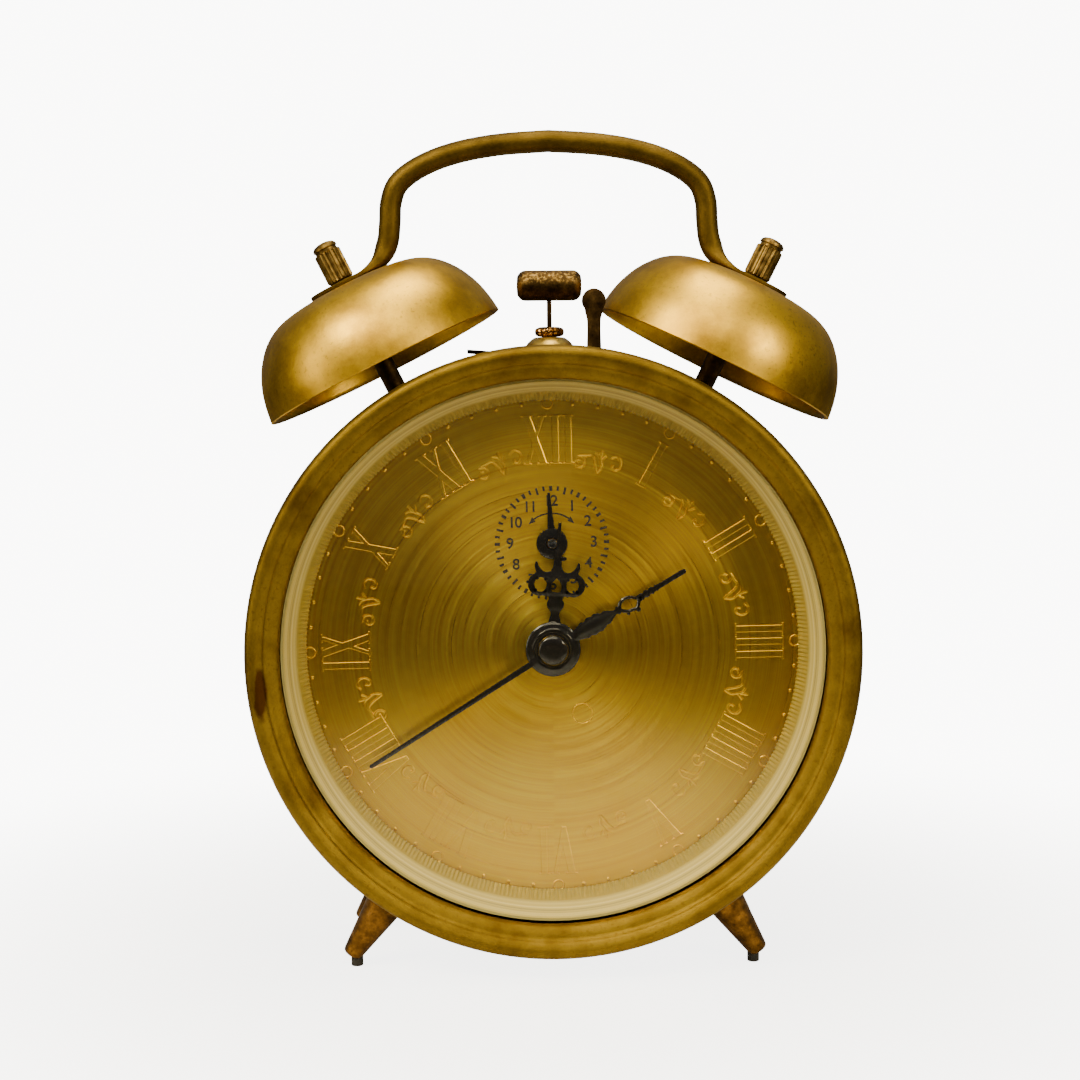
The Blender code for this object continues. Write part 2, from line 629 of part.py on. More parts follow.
def make_alarm_train():
    """The alarm barrel, its key and the strike wheel that rocks the hammer."""
    great_phase = STRIKE_DIRECTION
    pinion_phase = meshing_phase(great_phase, 30, STRIKE_DIRECTION, 6)
    make_barrel("alarm_barrel", ALARM_BARREL_SPOT, gear(30, BARREL_MODULE, great_phase))
    make_key("alarm", ALARM_BARREL_SPOT)
    wheels = [
        (gear(6, BARREL_MODULE, pinion_phase), 24.0, 26.0),
        (saw_wheel(14, 5.6, 7.0), 29.0, 30.0),
    ]
    axle_wheel("strike_wheel", "movement_brass", STRIKE_SPOT, 0.6, *PIVOTS, wheels)


def make_plates():
    half = [(0, 54.0), (8, 54.0), (8, 42.0), (13, 38.0), (30, 38.0), (35, 33.0), (35, -33.0)]
    half += [(30, -38.0), (0, -38.0)]
    outline = mirrored(half)
    shared = [ring(1.3, 12, ALARM_CENTRE), ring(1.0, 10, MINUTE_WHEEL_SPOT)]
    flat("front_plate", "movement_brass", [outline, ring(1.6), *shared], *FRONT_PLATE, case)
    winding = [ring(1.7, 12, BARREL_SPOT), ring(1.7, 12, ALARM_BARREL_SPOT)]
    flat("rear_plate", "movement_brass", [outline, *shared, *winding], *REAR_PLATE, case)
    for number, (x, y) in enumerate(PILLARS, 1):
        low, high = FRONT_PLATE[1] + GAP, REAR_PLATE[0] - GAP
        pillar = [(0, low), (1.4, low), (2.0, low + 1.5), (1.6, 30.5), (2.0, high - 1.5), (1.4, high), (0, high)]
        turned(f"plate_pillar_{number}", "steel", pillar, case, (x, y, 0), steps=12)


def make_hands():
    hour_blade = [
        (3.0, 1.3), (5.5, 0.9), (6.8, 0.9), (8.0, 1.65), (9.2, 0.9), (10.6, 1.4), (12.0, 4.2),
        (14.0, 5.5), (16.0, 4.8), (17.4, 3.4), (17.0, 1.1), (20.0, 0.8), (24.8, 0.2),
    ]
    minute_blade = [
        (3.0, 1.0), (5.4, 1.4), (8.0, 1.9), (11.0, 1.5), (14.0, 0.8), (16.0, 1.9), (18.5, 1.8),
        (20.0, 0.6), (21.5, 1.3), (23.0, 0.6), (25.0, 0.45), (30.3, 0.45),
    ]
    second_blade = [(1.2, 0.5), (3.0, 0.5), (42.8, 0.35)]
    alarm_blade = [(1.2, 0.75), (3.1, 0.75), (10.1, 0.2)]
    outline = [hand_outline(4.2, hour_blade), ring(2.0)]
    flat("hour_hand", "black_gloss", outline, 12.4, 12.9, case, turn=(0, 0, -HOUR_ANGLE))
    outline = [hand_outline(5.4, minute_blade), ring(0.9, 12)]
    flat("minute_hand", "black_gloss", outline, 10.9, 11.4, case, turn=(0, 0, -MINUTE_ANGLE))
    outline = [hand_outline(2.0, second_blade), ring(0.8, 12)]
    flat("second_hand", "black_gloss", outline, 9.9, 10.3, case, turn=(0, 0, -SECOND_ANGLE))
    cap = [(0, 8.6), (1.4, 8.75), (2.4, 9.1), (3.05, 9.5), (3.05, 9.6), (0, 9.6)]
    turned("hand_cap", "black_gloss", cap, case, steps=24)
    alarm = frame("alarm_hand_axis", (*ALARM_CENTRE, 0), parent=case)
    outline = [hand_outline(3.1, alarm_blade), ring(1.2, 12)]
    flat("alarm_hand", "black_gloss", outline, 13.9, 14.4, alarm, turn=(0, 0, -ALARM_ANGLE))
    rod("alarm_arbor", "steel", 0.9, 13.4, REAR_END - 12.0 - GAP, alarm)
    make_knob("alarm_set_knob", 5.4, alarm)


def spot_from(origin, distance, direction):
    x, y = polar(distance + MESH_CLEARANCE, direction)
    return (origin[0] + x, origin[1] + y)


# Places of the arbors on the plates, from the size of the wheels that meet there
BARREL_DIRECTION = 185.0
THIRD_DIRECTION = 300.0
ESCAPE_DIRECTION = 100.0
MINUTE_WHEEL_DIRECTION = 45.0
STRIKE_DIRECTION = 100.0
KEY_TURN = 20.0
REGULATOR_REACH = 14.0
BARREL_SPOT = spot_from((0, 0), BARREL_MODULE * (42 + 6) / 2, BARREL_DIRECTION)
THIRD_SPOT = spot_from((0, 0), CENTRE_MODULE * (48 + 6) / 2, THIRD_DIRECTION)
ESCAPE_SPOT = spot_from((0, 0), CENTRE_MODULE * (48 + 6) / 2, ESCAPE_DIRECTION)
MINUTE_WHEEL_SPOT = spot_from((0, 0), MOTION_MODULE * (24 + 6) / 2, MINUTE_WHEEL_DIRECTION)
ALARM_BARREL_SPOT = (26.5, -2.2)
STRIKE_SPOT = spot_from(ALARM_BARREL_SPOT, BARREL_MODULE * (30 + 6) / 2, STRIKE_DIRECTION)
PALLET_SPOT = (ESCAPE_SPOT[0] - 8.0, ESCAPE_SPOT[1] + 2.9)
BALANCE_SPOT = (PALLET_SPOT[0] - 8.2, PALLET_SPOT[1] + 4.8)
HAMMER_ARM_ANGLE = math.degrees(math.atan2(STRIKE_SPOT[0], HAMMER_PIVOT_Z - STRIKE_SPOT[1]))

clear_scene()
parts = new_collection("alarm_clock")
cutters = new_collection("cutters")
case = frame("case_axis", (0, FRONT_Y, AXIS_HEIGHT), (90, 0, 0))
bell_frames = {
    side: frame(
        f"bell_axis_{side}",
        (side * BELL_X, FRONT_Y + TOP_DEPTH, AXIS_HEIGHT + BELL_Z),
        (0, side * BELL_TILT, 0),
    )
    for side in (-1, 1)
}
make_case(case)
make_feet()
make_bells()
make_handle()
make_hammer_seat()
make_hammer()
make_stop_lever()
make_plates()
make_motion_work()
make_going_train()
make_alarm_train()
make_hands()
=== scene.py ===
"""Twin-bell alarm clock: its visible pieces and their finishes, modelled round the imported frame.

Run as a script it makes everything once. Its panel lists one operator for each piece or group
of like pieces. Lengths are millimetres until they reach a mesh. A depth is a distance behind
the bezel's front plane, and a clock angle runs clockwise from twelve, in degrees.
"""

import json
import math

import bmesh
import bpy
from mathutils import Matrix, Quaternion, Vector


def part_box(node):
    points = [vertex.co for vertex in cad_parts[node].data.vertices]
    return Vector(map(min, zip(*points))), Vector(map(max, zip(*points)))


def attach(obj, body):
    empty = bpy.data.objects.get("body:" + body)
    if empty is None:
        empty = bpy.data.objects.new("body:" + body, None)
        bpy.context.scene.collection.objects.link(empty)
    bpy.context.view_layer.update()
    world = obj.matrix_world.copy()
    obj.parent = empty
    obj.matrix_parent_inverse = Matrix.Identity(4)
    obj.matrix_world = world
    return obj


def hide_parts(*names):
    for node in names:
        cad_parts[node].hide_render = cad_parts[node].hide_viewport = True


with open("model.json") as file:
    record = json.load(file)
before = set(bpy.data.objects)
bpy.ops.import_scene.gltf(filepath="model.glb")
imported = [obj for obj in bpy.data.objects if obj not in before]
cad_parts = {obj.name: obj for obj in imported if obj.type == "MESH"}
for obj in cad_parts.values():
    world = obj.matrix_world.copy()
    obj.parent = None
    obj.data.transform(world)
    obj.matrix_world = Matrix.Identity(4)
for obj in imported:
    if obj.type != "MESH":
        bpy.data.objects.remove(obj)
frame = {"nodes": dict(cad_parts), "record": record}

bl_info = {
    "name": "Twin-bell alarm clock",
    "version": (1, 0, 0),
    "blender": (4, 5, 0),
    "location": "3D View > Sidebar > Clock",
    "description": "Models the visible pieces of a twin-bell alarm clock round its frame",
    "category": "Object",
}

MM = 0.001
WELD = 0.000001
SIDES = ((-1, "left"), (1, "right"))


def box_mm(node):
    """A node's lowest and highest corner, in millimetres."""
    low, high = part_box(node)
    return low / MM, high / MM


def depths_of(node):
    """How far behind the bezel's front a node starts and ends."""
    low, high = box_mm(node)
    return low.y - FRONT_Y, high.y - FRONT_Y


def centre_of(node):
    """A node's centre as (x, height over the dial's axis)."""
    low, high = box_mm(node)
    return (low.x + high.x) / 2, (low.z + high.z) / 2 - AXIS_HEIGHT


# Driving sizes, from the frame
BEZEL_LOW, BEZEL_HIGH = box_mm("bezel")
BEZEL_RADIUS = (BEZEL_HIGH.x - BEZEL_LOW.x) / 2
AXIS_HEIGHT = (BEZEL_HIGH.z + BEZEL_LOW.z) / 2
FRONT_Y = BEZEL_LOW.y
HANDLE_LOW, HANDLE_HIGH = box_mm("handle")
TOP_Y = (HANDLE_LOW.y + HANDLE_HIGH.y) / 2
DRUM_LOW, DRUM_HIGH = box_mm("case_drum")
DRUM_RADIUS = (DRUM_HIGH.x - DRUM_LOW.x) / 2
DRUM_FRONT, DRUM_REAR = depths_of("case_drum")
DIAL_FRONT = depths_of("dial")[0]
ALARM_CENTRE = centre_of("alarm_arbor")

# Places that the frame's boxes don't give
BELL_X = 33.0
BELL_Z = 55.7
BELL_TILT = 26.5
FOOT_ANGLE = 33.6
PAD_X = 39.6
KEY_TURN = 20.0
DIAL_TURN = 0.9

# Where the hands point, as clock angles
HOUR_ANGLE = 3.6
MINUTE_ANGLE = 59.5
SECOND_ANGLE = 237.7
ALARM_ANGLE = -3.4

# Handle bar, and the flat tab that a nut holds on each bell
BAR_RADIUS = 2.2
TAB_HEIGHT = 18.55
TAB_HALF_THICK = 0.55
TAB_HALF_WIDE = 4.8
TAB_LENGTH = 9.5

# Dial letters: widths, half a stem, a serif's reach and thickness, and the printed figures' size
NUMERALS = ("I", "II", "III", "IIII", "V", "VI", "VII", "VIII", "IX", "X", "XI", "XII")
LETTER_WIDTHS = {"I": 2.55, "V": 5.5, "X": 5.5}
STEM = 0.68
SERIF = (0.45, 0.36)
FIGURE_SIZE = 3.0

# Camera, in millimetres and degrees, the backdrop and the lamps' warm tint
CAMERA_PLACE = (-6.0, -375.0, 109.75)
CAMERA_PITCH = 3.98
CAMERA_YAW = 0.58
CAMERA_ROLL = 0.5
CAMERA_LENS = 60.8
SENSOR = 36.0
PAPER = "#F4F3F0"
PAPER_STRENGTH = 11.0
LAMP_TINT = "#FFEFC8"

# The case's frame, with X right, Y up and depths along -Z, and the frame of what stands on top
FRONT_CENTRE = Vector((0, FRONT_Y, AXIS_HEIGHT)) * MM
CASE = Matrix.Translation(FRONT_CENTRE) @ Matrix.Rotation(math.pi / 2, 4, "X")
TOP = Matrix.Translation(Vector((0, TOP_Y, AXIS_HEIGHT)) * MM)


def shift(x, y, z=0.0):
    """A move in millimetres."""
    return Matrix.Translation(Vector((x, y, z)) * MM)


def turn(angle, axis="Z"):
    """A turn in degrees, anticlockwise seen from the axis's tip."""
    return Matrix.Rotation(math.radians(angle), 4, axis)


def bell_seat(side):
    """A bell post's frame, its Z along the post."""
    return TOP @ shift(side * BELL_X, 0, BELL_Z) @ turn(side * BELL_TILT, "Y")


def linear(hex_colour):
    """An sRGB hex colour as linear red, green and blue."""
    channels = [int(hex_colour[start : start + 2], 16) / 255 for start in (1, 3, 5)]
    return [c / 12.92 if c <= 0.04045 else ((c + 0.055) / 1.055) ** 2.4 for c in channels]


# ---------------------------------------------------------------- settings


class ClockSizes(bpy.types.PropertyGroup):
    """Sizes that can be changed without touching the frame."""

    turn_steps: bpy.props.IntProperty(
        name="Turn steps", description="Facets round a large turned piece", default=160, min=48
    )
    numeral_foot: bpy.props.FloatProperty(
        name="Numeral foot", description="Radius of the numerals' feet", default=36.2 * MM,
        unit="LENGTH"
    )
    numeral_height: bpy.props.FloatProperty(
        name="Numeral height", description="Height of the raised numerals", default=9.7 * MM,
        unit="LENGTH"
    )
    minute_circle: bpy.props.FloatProperty(
        name="Minute circle", description="Radius of the raised minute dots", default=48.2 * MM,
        unit="LENGTH"
    )
    ornament_circle: bpy.props.FloatProperty(
        name="Ornament circle", description="Radius of the raised scrolls", default=37.6 * MM,
        unit="LENGTH"
    )
    ring_ribs: bpy.props.IntProperty(
        name="Ring ribs", description="Ribs round the reflector ring", default=380, min=60
    )
    nut_flutes: bpy.props.IntProperty(
        name="Nut flutes", description="Flutes round a bell nut", default=20, min=8
    )


class ClockColours(bpy.types.PropertyGroup):
    """Main colours of the finishes."""

    case_brass: bpy.props.FloatVectorProperty(
        name="Case brass", description="Clean brass of the case", subtype="COLOR",
        default=linear("#7E661E"),
    )
    bell_brass: bpy.props.FloatVectorProperty(
        name="Bell brass", description="Clean brass of the bells", subtype="COLOR",
        default=linear("#DDB02A"),
    )
    dial_brass: bpy.props.FloatVectorProperty(
        name="Dial brass", description="Lacquered brass of the dial", subtype="COLOR",
        default=linear("#E6C63E"),
    )
    cream: bpy.props.FloatVectorProperty(
        name="Ring cream", description="Plastic of the reflector ring", subtype="COLOR",
        default=linear("#BCAD68"),
    )
    enamel: bpy.props.FloatVectorProperty(
        name="Hand enamel", description="Enamel of the hands", subtype="COLOR",
        default=linear("#0C0B0A"),
    )


def sizes():
    """The sizes as the user has set them."""
    return bpy.context.scene.clock_sizes


def colours():
    """The colours as the user has set them."""
    return bpy.context.scene.clock_colours


# ---------------------------------------------------------------- outlines and profiles


def polar(radius, angle, centre=(0.0, 0.0)):
    """A point at that angle, in degrees anticlockwise from +X."""
    radians = math.radians(angle)
    return centre[0] + radius * math.cos(radians), centre[1] + radius * math.sin(radians)


def arc(radius, start, end, count, centre=(0.0, 0.0)):
    """Points round a centre from one angle to another."""
    return [polar(radius, start + (end - start) * i / count, centre) for i in range(count + 1)]


def ring(radius, count=48, centre=(0.0, 0.0)):
    """A closed circle of points."""
    return arc(radius, 0, 360, count, centre)[:-1]


def through(points, steps=6):
    """A smooth line through the points."""
    padded = [points[0], *points, points[-1]]
    line = []
    for a, b, c, d in zip(padded, padded[1:], padded[2:], padded[3:]):
        for step in range(steps):
            t = step / steps
            line.append(tuple(
                0.5 * (2 * q + (r - p) * t + (2 * p - 5 * q + 4 * r - s) * t ** 2
                       + (3 * q - p - 3 * r + s) * t ** 3)
                for p, q, r, s in zip(a, b, c, d)
            ))
    return line + [tuple(points[-1])]


def eased(points, radius, steps=4):
    """The same line with its inner corners rounded over."""
    line = [points[0]]
    for before, corner, after in zip(points, points[1:], points[2:]):
        corner = Vector(corner)
        ends = []
        for other in (Vector(before), Vector(after)):
            way = other - corner
            ends.append(corner + way * min(0.5, radius / max(way.length, WELD)))
        for step in range(steps + 1):
            t = step / steps
            point = ends[0] * (1 - t) ** 2 + corner * 2 * t * (1 - t) + ends[1] * t ** 2
            line.append(tuple(point))
    return line + [points[-1]]


def eased_loop(points, radius, steps=3):
    """A closed outline with all its corners rounded over."""
    return eased([points[-1], *points, points[0]], radius, steps)[1:-1]


def mirrored(half):
    """A closed outline from its right half, listed bottom to top."""
    return list(half) + [(-x, y) for x, y in reversed(half) if abs(x) > WELD]


# ---------------------------------------------------------------- modelling steps


def clear_selection():
    """Back to object mode with nothing selected."""
    if bpy.context.mode != "OBJECT":
        bpy.ops.object.mode_set(mode="OBJECT")
    bpy.ops.object.select_all(action="DESELECT")


def work_on(*pieces):
    """Only these pieces are selected, the first one active."""
    clear_selection()
    for piece in pieces:
        piece.select_set(True)
    bpy.context.view_layer.objects.active = pieces[0]


def placed(piece, place):
    """The piece's place is put in its mesh, so its object stays at the origin."""
    piece.data.transform(place)
    piece.data.update()
    return piece


def softened(piece, angle=35):
    """Smooth shading, with edges kept where faces meet at more than the angle."""
    work_on(piece)
    bpy.ops.object.shade_smooth_by_angle(angle=math.radians(angle))
    return piece


def closed_up(piece):
    """Doubled points are merged and the faces turned outwards."""
    work_on(piece)
    bpy.ops.object.mode_set(mode="EDIT")
    bpy.ops.mesh.select_all(action="SELECT")
    bpy.ops.mesh.remove_doubles(threshold=WELD)
    bpy.ops.mesh.normals_make_consistent(inside=False)
    bpy.ops.object.mode_set(mode="OBJECT")
    return piece


def spun(name, profile, place, steps, loop=False):
    """A turned piece: one point is drawn out along the (radius, depth) profile, then spun."""
    clear_selection()
    line = list(profile) + [profile[0]] * loop
    bpy.ops.mesh.primitive_plane_add(size=MM)
    piece = bpy.context.active_object
    piece.name = name
    bpy.ops.object.mode_set(mode="EDIT")
    bpy.ops.mesh.select_all(action="SELECT")
    bpy.ops.mesh.merge(type="CENTER")
    bpy.ops.transform.translate(value=(line[0][0] * MM, 0, -line[0][1] * MM))
    for (r0, d0), (r1, d1) in zip(line, line[1:]):
        move = ((r1 - r0) * MM, 0, (d0 - d1) * MM)
        bpy.ops.mesh.extrude_vertices_move(TRANSFORM_OT_translate={"value": move})
    bpy.ops.mesh.select_all(action="SELECT")
    bpy.ops.mesh.spin(steps=steps, angle=math.tau, center=(0, 0, 0), axis=(0, 0, 1))
    bpy.ops.object.mode_set(mode="OBJECT")
    return placed(softened(closed_up(piece)), place)


def fluted(piece, columns, share, chosen):
    """Every second column of points that is chosen by (radius, depth) is drawn in to that share."""
    work_on(piece)
    for vertex in piece.data.vertices:
        x, y, z = vertex.co
        column = round(math.atan2(y, x) / math.tau * columns)
        vertex.select = column % 2 == 1 and chosen(math.hypot(x, y) / MM, -z / MM)
    for group in (piece.data.edges, piece.data.polygons):
        group.foreach_set("select", [False] * len(group))
    bpy.ops.object.mode_set(mode="EDIT")
    bpy.ops.transform.resize(value=(share, share, 1), center_override=(0, 0, 0))
    bpy.ops.object.mode_set(mode="OBJECT")
    return piece


def drawn_curve(name, dimensions):
    """An empty curve and its object."""
    curve = bpy.data.curves.new(name, "CURVE")
    curve.dimensions = dimensions
    piece = bpy.data.objects.new(name, curve)
    bpy.context.scene.collection.objects.link(piece)
    return piece, curve


def add_line(curve, points, cyclic):
    """Adds a straight-sided line of points to a curve."""
    spline = curve.splines.new("POLY")
    spline.points.add(len(points) - 1)
    for point, place in zip(spline.points, points):
        x, y, z = (*place, 0.0)[:3]
        point.co = (x * MM, y * MM, z * MM, 1)
    spline.use_cyclic_u = cyclic


def as_mesh(piece, place, angle=35):
    """A curve or a text made a closed mesh at its place."""
    work_on(piece)
    bpy.ops.object.convert(target="MESH")
    return placed(softened(closed_up(bpy.context.active_object), angle), place)


def sheet_metal(name, outlines, near, far, place, edge=0.0, angle=35):
    """A flat piece between two depths. An outline inside another is a hole, one outside a part."""
    piece, curve = drawn_curve(name, "2D")
    curve.fill_mode = "BOTH"
    curve.extrude = ((far - near) / 2 - edge) * MM
    curve.bevel_depth = edge * MM
    curve.bevel_resolution = 1
    curve.offset = -edge * MM
    for outline in outlines:
        add_line(curve, outline, True)
    return as_mesh(piece, place @ shift(0, 0, -(near + far) / 2), angle)


def wire(name, lines, radius, place, resolution=2):
    """Round wire along each line of points."""
    piece, curve = drawn_curve(name, "3D")
    curve.bevel_depth = radius * MM
    curve.bevel_resolution = resolution
    curve.use_fill_caps = True
    for line in lines:
        add_line(curve, line, False)
    return as_mesh(piece, place)


def joined(name, *pieces):
    """One object of all the pieces."""
    work_on(*pieces)
    if len(pieces) > 1:
        bpy.ops.object.join()
    pieces[0].name = name
    return pieces[0]


def copies(piece, places):
    """One joined piece made of a copy at each place. The pattern itself is used up."""
    made = []
    for place in places:
        copy = bpy.data.objects.new(piece.name, piece.data.copy())
        bpy.context.scene.collection.objects.link(copy)
        made.append(placed(copy, place))
    name = piece.name
    bpy.data.objects.remove(piece)
    return joined(name, *made)


def bored(piece, *cutters):
    """Cuts the cutters out of the piece and removes them."""
    for cutter in cutters:
        work_on(piece)
        change = piece.modifiers.new("bore", "BOOLEAN")
        change.object = cutter
        bpy.ops.object.modifier_apply(modifier=change.name)
        bpy.data.objects.remove(cutter)
    return softened(piece)


def pin_cutter(radius, near, far, place):
    """A round cutter between two depths."""
    clear_selection()
    bpy.ops.mesh.primitive_cylinder_add(vertices=24, radius=radius * MM, depth=(far - near) * MM)
    return placed(bpy.context.active_object, place @ shift(0, 0, -(near + far) / 2))


def block_cutter(size, place):
    """A square-edged cutter about its place."""
    clear_selection()
    bpy.ops.mesh.primitive_cube_add(size=1)
    cutter = bpy.context.active_object
    return placed(cutter, place @ Matrix.Diagonal((*[side * MM for side in size], 1)))


def loft(name, rings):
    """A skin through rings of equal count, closed at both ends."""
    shape = bmesh.new()
    rows = [[shape.verts.new(Vector(point) * MM) for point in points] for points in rings]
    for row, following in zip(rows, rows[1:]):
        for i in range(len(row)):
            j = (i + 1) % len(row)
            shape.faces.new((row[i], row[j], following[j], following[i]))
    for row in (rows[0], rows[-1]):
        shape.faces.new(row)
    mesh = bpy.data.meshes.new(name)
    shape.to_mesh(mesh)
    shape.free()
    piece = bpy.data.objects.new(name, mesh)
    bpy.context.scene.collection.objects.link(piece)
    return softened(closed_up(piece))


def complete(piece, finish, body, slot, *nodes):
    """Gives the piece its finish, the body it rides on and the frame nodes it stands for."""
    piece.data.materials.clear()
    piece.data.materials.append(finish())
    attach(piece, body)
    if nodes:
        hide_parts(*nodes)


# ---------------------------------------------------------------- finishes


def add_node(tree, kind, settings=None, links=None):
    """Adds a node with its properties and input values, then links its inputs.

    A link comes from a socket, or from a node's first output.
    """
    node = tree.nodes.new("ShaderNode" + kind)
    for key, value in (settings or {}).items():
        if key == "stops":
            elements = node.color_ramp.elements
            while len(elements) < len(value):
                elements.new(1.0)
            for element, (position, colour) in zip(elements, value):
                element.position = position
                element.color = (*colour, 1.0)
        elif isinstance(key, int) or key in node.inputs:
            node.inputs[key].default_value = value
        else:
            setattr(node, key, value)
    for key, source in (links or {}).items():
        tree.links.new(getattr(source, "outputs", [source])[0], node.inputs[key])
    return node


def blank_finish(name):
    """A new material with an empty tree, or None and the material if it was made before."""
    found = bpy.data.materials.get(name)
    if found:
        return None, found
    made = bpy.data.materials.new(name)
    made.use_nodes = True
    made.node_tree.nodes.clear()
    return made.node_tree, made


def surface(tree, settings, links):
    """The shader and the output of a finish."""
    shader = add_node(tree, "BsdfPrincipled", settings, links)
    add_node(tree, "OutputMaterial", links={"Surface": shader})


def per_mm(size):
    """A texture scale whose features are about that many millimetres."""
    return 1 / (size * MM)


def grey(value):
    """A linear grey as red, green and blue."""
    return (value, value, value)


def aged_metal(name, tones, patch, grain, rough, relief, pits=0.0, extra=None):
    """Metal whose tarnish comes in patches over a fine grain, with dark pits in places."""
    tree, made = blank_finish(name)
    if tree is None:
        return made
    at = add_node(tree, "TexCoord").outputs["Object"]
    patches = add_node(
        tree, "TexNoise", {"Scale": per_mm(patch), "Detail": 6.0, "Roughness": 0.62}, {"Vector": at}
    )
    fine = add_node(
        tree, "TexNoise", {"Scale": per_mm(grain), "Detail": 4.0, "Roughness": 0.7}, {"Vector": at}
    )
    tone = add_node(
        tree, "ValToRGB",
        {"stops": [(0.32 + 0.36 * i / (len(tones) - 1), colour) for i, colour in enumerate(tones)]},
        {0: patches},
    )
    grained = add_node(
        tree, "Mix", {"data_type": "RGBA", "blend_type": "OVERLAY", 0: 0.3},
        {6: tone, 7: fine},
    )
    colour = grained.outputs[2]
    if pits:
        spots = add_node(
            tree, "TexNoise", {"Scale": per_mm(0.7), "Detail": 2.0, "Roughness": 0.5},
            {"Vector": at}
        )
        where = add_node(
            tree, "ValToRGB", {"stops": [(0.60, grey(0.0)), (0.68, grey(1.0))]}, {0: spots}
        )
        spread = add_node(tree, "MapRange", {1: 0.42, 2: 0.62, 3: 0.0, 4: pits}, {0: patches})
        depth = add_node(tree, "Math", {"operation": "MULTIPLY"}, {0: where, 1: spread})
        pitted = add_node(
            tree, "Mix", {"data_type": "RGBA", 7: (*tones[0], 1.0)}, {0: depth, 6: colour}
        )
        colour = pitted.outputs[2]
    if extra:
        colour = extra(tree, at, colour)
    roughness = add_node(tree, "MapRange", {1: 0.3, 2: 0.7, 3: rough[0], 4: rough[1]}, {0: fine})
    bump = add_node(tree, "Bump", {"Strength": 1.0, "Distance": relief * MM}, {"Height": fine})
    surface(
        tree, {"Metallic": 1.0},
        {"Base Color": colour, "Roughness": roughness, "Normal": bump},
    )
    return made


def tarnish_spot(tree, at, colour):
    """A long ragged red-brown stain on the left of the bezel."""
    middle = Vector((-55.9, 0, AXIS_HEIGHT - 7.0))
    half_wide, half_tall = 1.3, 5.6
    moved = add_node(
        tree, "Mapping",
        {"Location": -middle * MM, "vector_type": "POINT"}, {"Vector": at},
    )
    shaped = add_node(
        tree, "VectorMath", {"operation": "MULTIPLY", 1: (per_mm(half_wide), 0, per_mm(half_tall))},
        {0: moved},
    )
    ragged = add_node(tree, "TexNoise", {"Scale": per_mm(3.0), "Detail": 3.0}, {"Vector": at})
    reach = add_node(tree, "VectorMath", {"operation": "LENGTH"}, {0: shaped})
    edge = add_node(tree, "Math", {"operation": "ADD"}, {0: reach.outputs["Value"], 1: ragged})
    stain = add_node(tree, "MapRange", {1: 1.5, 2: 1.25, 3: 0.0, 4: 0.9}, {0: edge})
    mixed = add_node(
        tree, "Mix", {"data_type": "RGBA", 7: (*linear("#43250F"), 1.0)}, {0: stain, 6: colour}
    )
    return mixed.outputs[2]


def aged_case_brass():
    """Spun brass with worn lacquer: brown in the hollows, golden where hands have rubbed it."""
    tones = [linear("#584110"), linear("#6C5516"), colours().case_brass[:], linear("#765E18")]
    return aged_metal("aged_case_brass", tones, 14.0, 0.4, (0.46, 0.6), 0.05, 0.5, tarnish_spot)


def handle_brass():
    """Drawn brass bar, darkened by handling, with a slightly orange-peel skin."""
    tones = [linear("#443410"), linear("#5E4A18"), linear("#6C5620")]
    return aged_metal("handle_brass", tones, 9.0, 0.5, (0.46, 0.6), 0.05, 0.5)


def pitted_bell_brass():
    """Pressed bell brass, satin, with fine dark pits and cloudy tarnish."""
    tones = [linear("#A07A1A"), linear("#BE9422"), colours().bell_brass[:], linear("#CCA226")]
    return aged_metal("pitted_bell_brass", tones, 16.0, 0.4, (0.32, 0.42), 0.03, 0.6)


def boss_brass():
    """Turned brass, cleaner than the case."""
    tones = [linear("#9A7C30"), linear("#C2A24A"), linear("#D4B75F")]
    return aged_metal("boss_brass", tones, 5.0, 0.4, (0.28, 0.4), 0.01)


def copper_bush():
    """Copper-plated knurled bush, polished by wear."""
    tones = [linear("#4E3418"), linear("#8A6230"), linear("#B8925A")]
    return aged_metal("copper_bush", tones, 1.2, 0.3, (0.18, 0.34), 0.02)


def patinated_dark_bronze():
    """Brass under a dark brown patina, dull."""
    tones = [linear("#20160B"), linear("#3B2B16"), linear("#5B4524")]
    return aged_metal("patinated_dark_bronze", tones, 3.0, 0.35, (0.42, 0.6), 0.03, 0.5)


def foot_bronze():
    """Patinated brass of the feet, with reddish rubbed places."""
    tones = [linear("#3A2710"), linear("#6B4A1E"), linear("#93692F")]
    return aged_metal("foot_bronze", tones, 2.4, 0.4, (0.36, 0.55), 0.04, 0.6)


def nut_brass():
    """Knurled brass, dark between the flutes and rubbed bright on top."""
    tones = [linear("#4A3717"), linear("#846A35"), linear("#A98C4E")]
    return aged_metal("nut_brass", tones, 2.0, 0.35, (0.34, 0.5), 0.02, 0.3)


def worn_tops(tree, at, colour):
    """Painted highlight on the upper side of the hammer head: bright specks, partly rubbed wear and
    partly the light from above.
    """
    head_low, head_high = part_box("hammer_head")
    parts = add_node(tree, "SeparateXYZ", links={0: at})
    middle = (head_low.z + head_high.z) / 2
    # Painted highlight: the bright specks go only on the upper half, where the light falls; they
    # also stand for rubbed wear.
    upper = add_node(
        tree, "MapRange", {1: middle, 2: middle + 1.4 * MM, 3: 0.0, 4: 1.0}, {0: parts.outputs["Z"]}
    )
    specks = add_node(tree, "TexNoise", {"Scale": per_mm(0.55), "Detail": 3.0}, {"Vector": at})
    where = add_node(
        tree, "ValToRGB", {"stops": [(0.48, grey(0.0)), (0.66, grey(0.8))]}, {0: specks}
    )
    share = add_node(tree, "Math", {"operation": "MULTIPLY"}, {0: upper, 1: where})
    mixed = add_node(
        tree, "Mix", {"data_type": "RGBA", 7: (*linear("#B39050"), 1.0)}, {0: share, 6: colour}
    )
    return mixed.outputs[2]


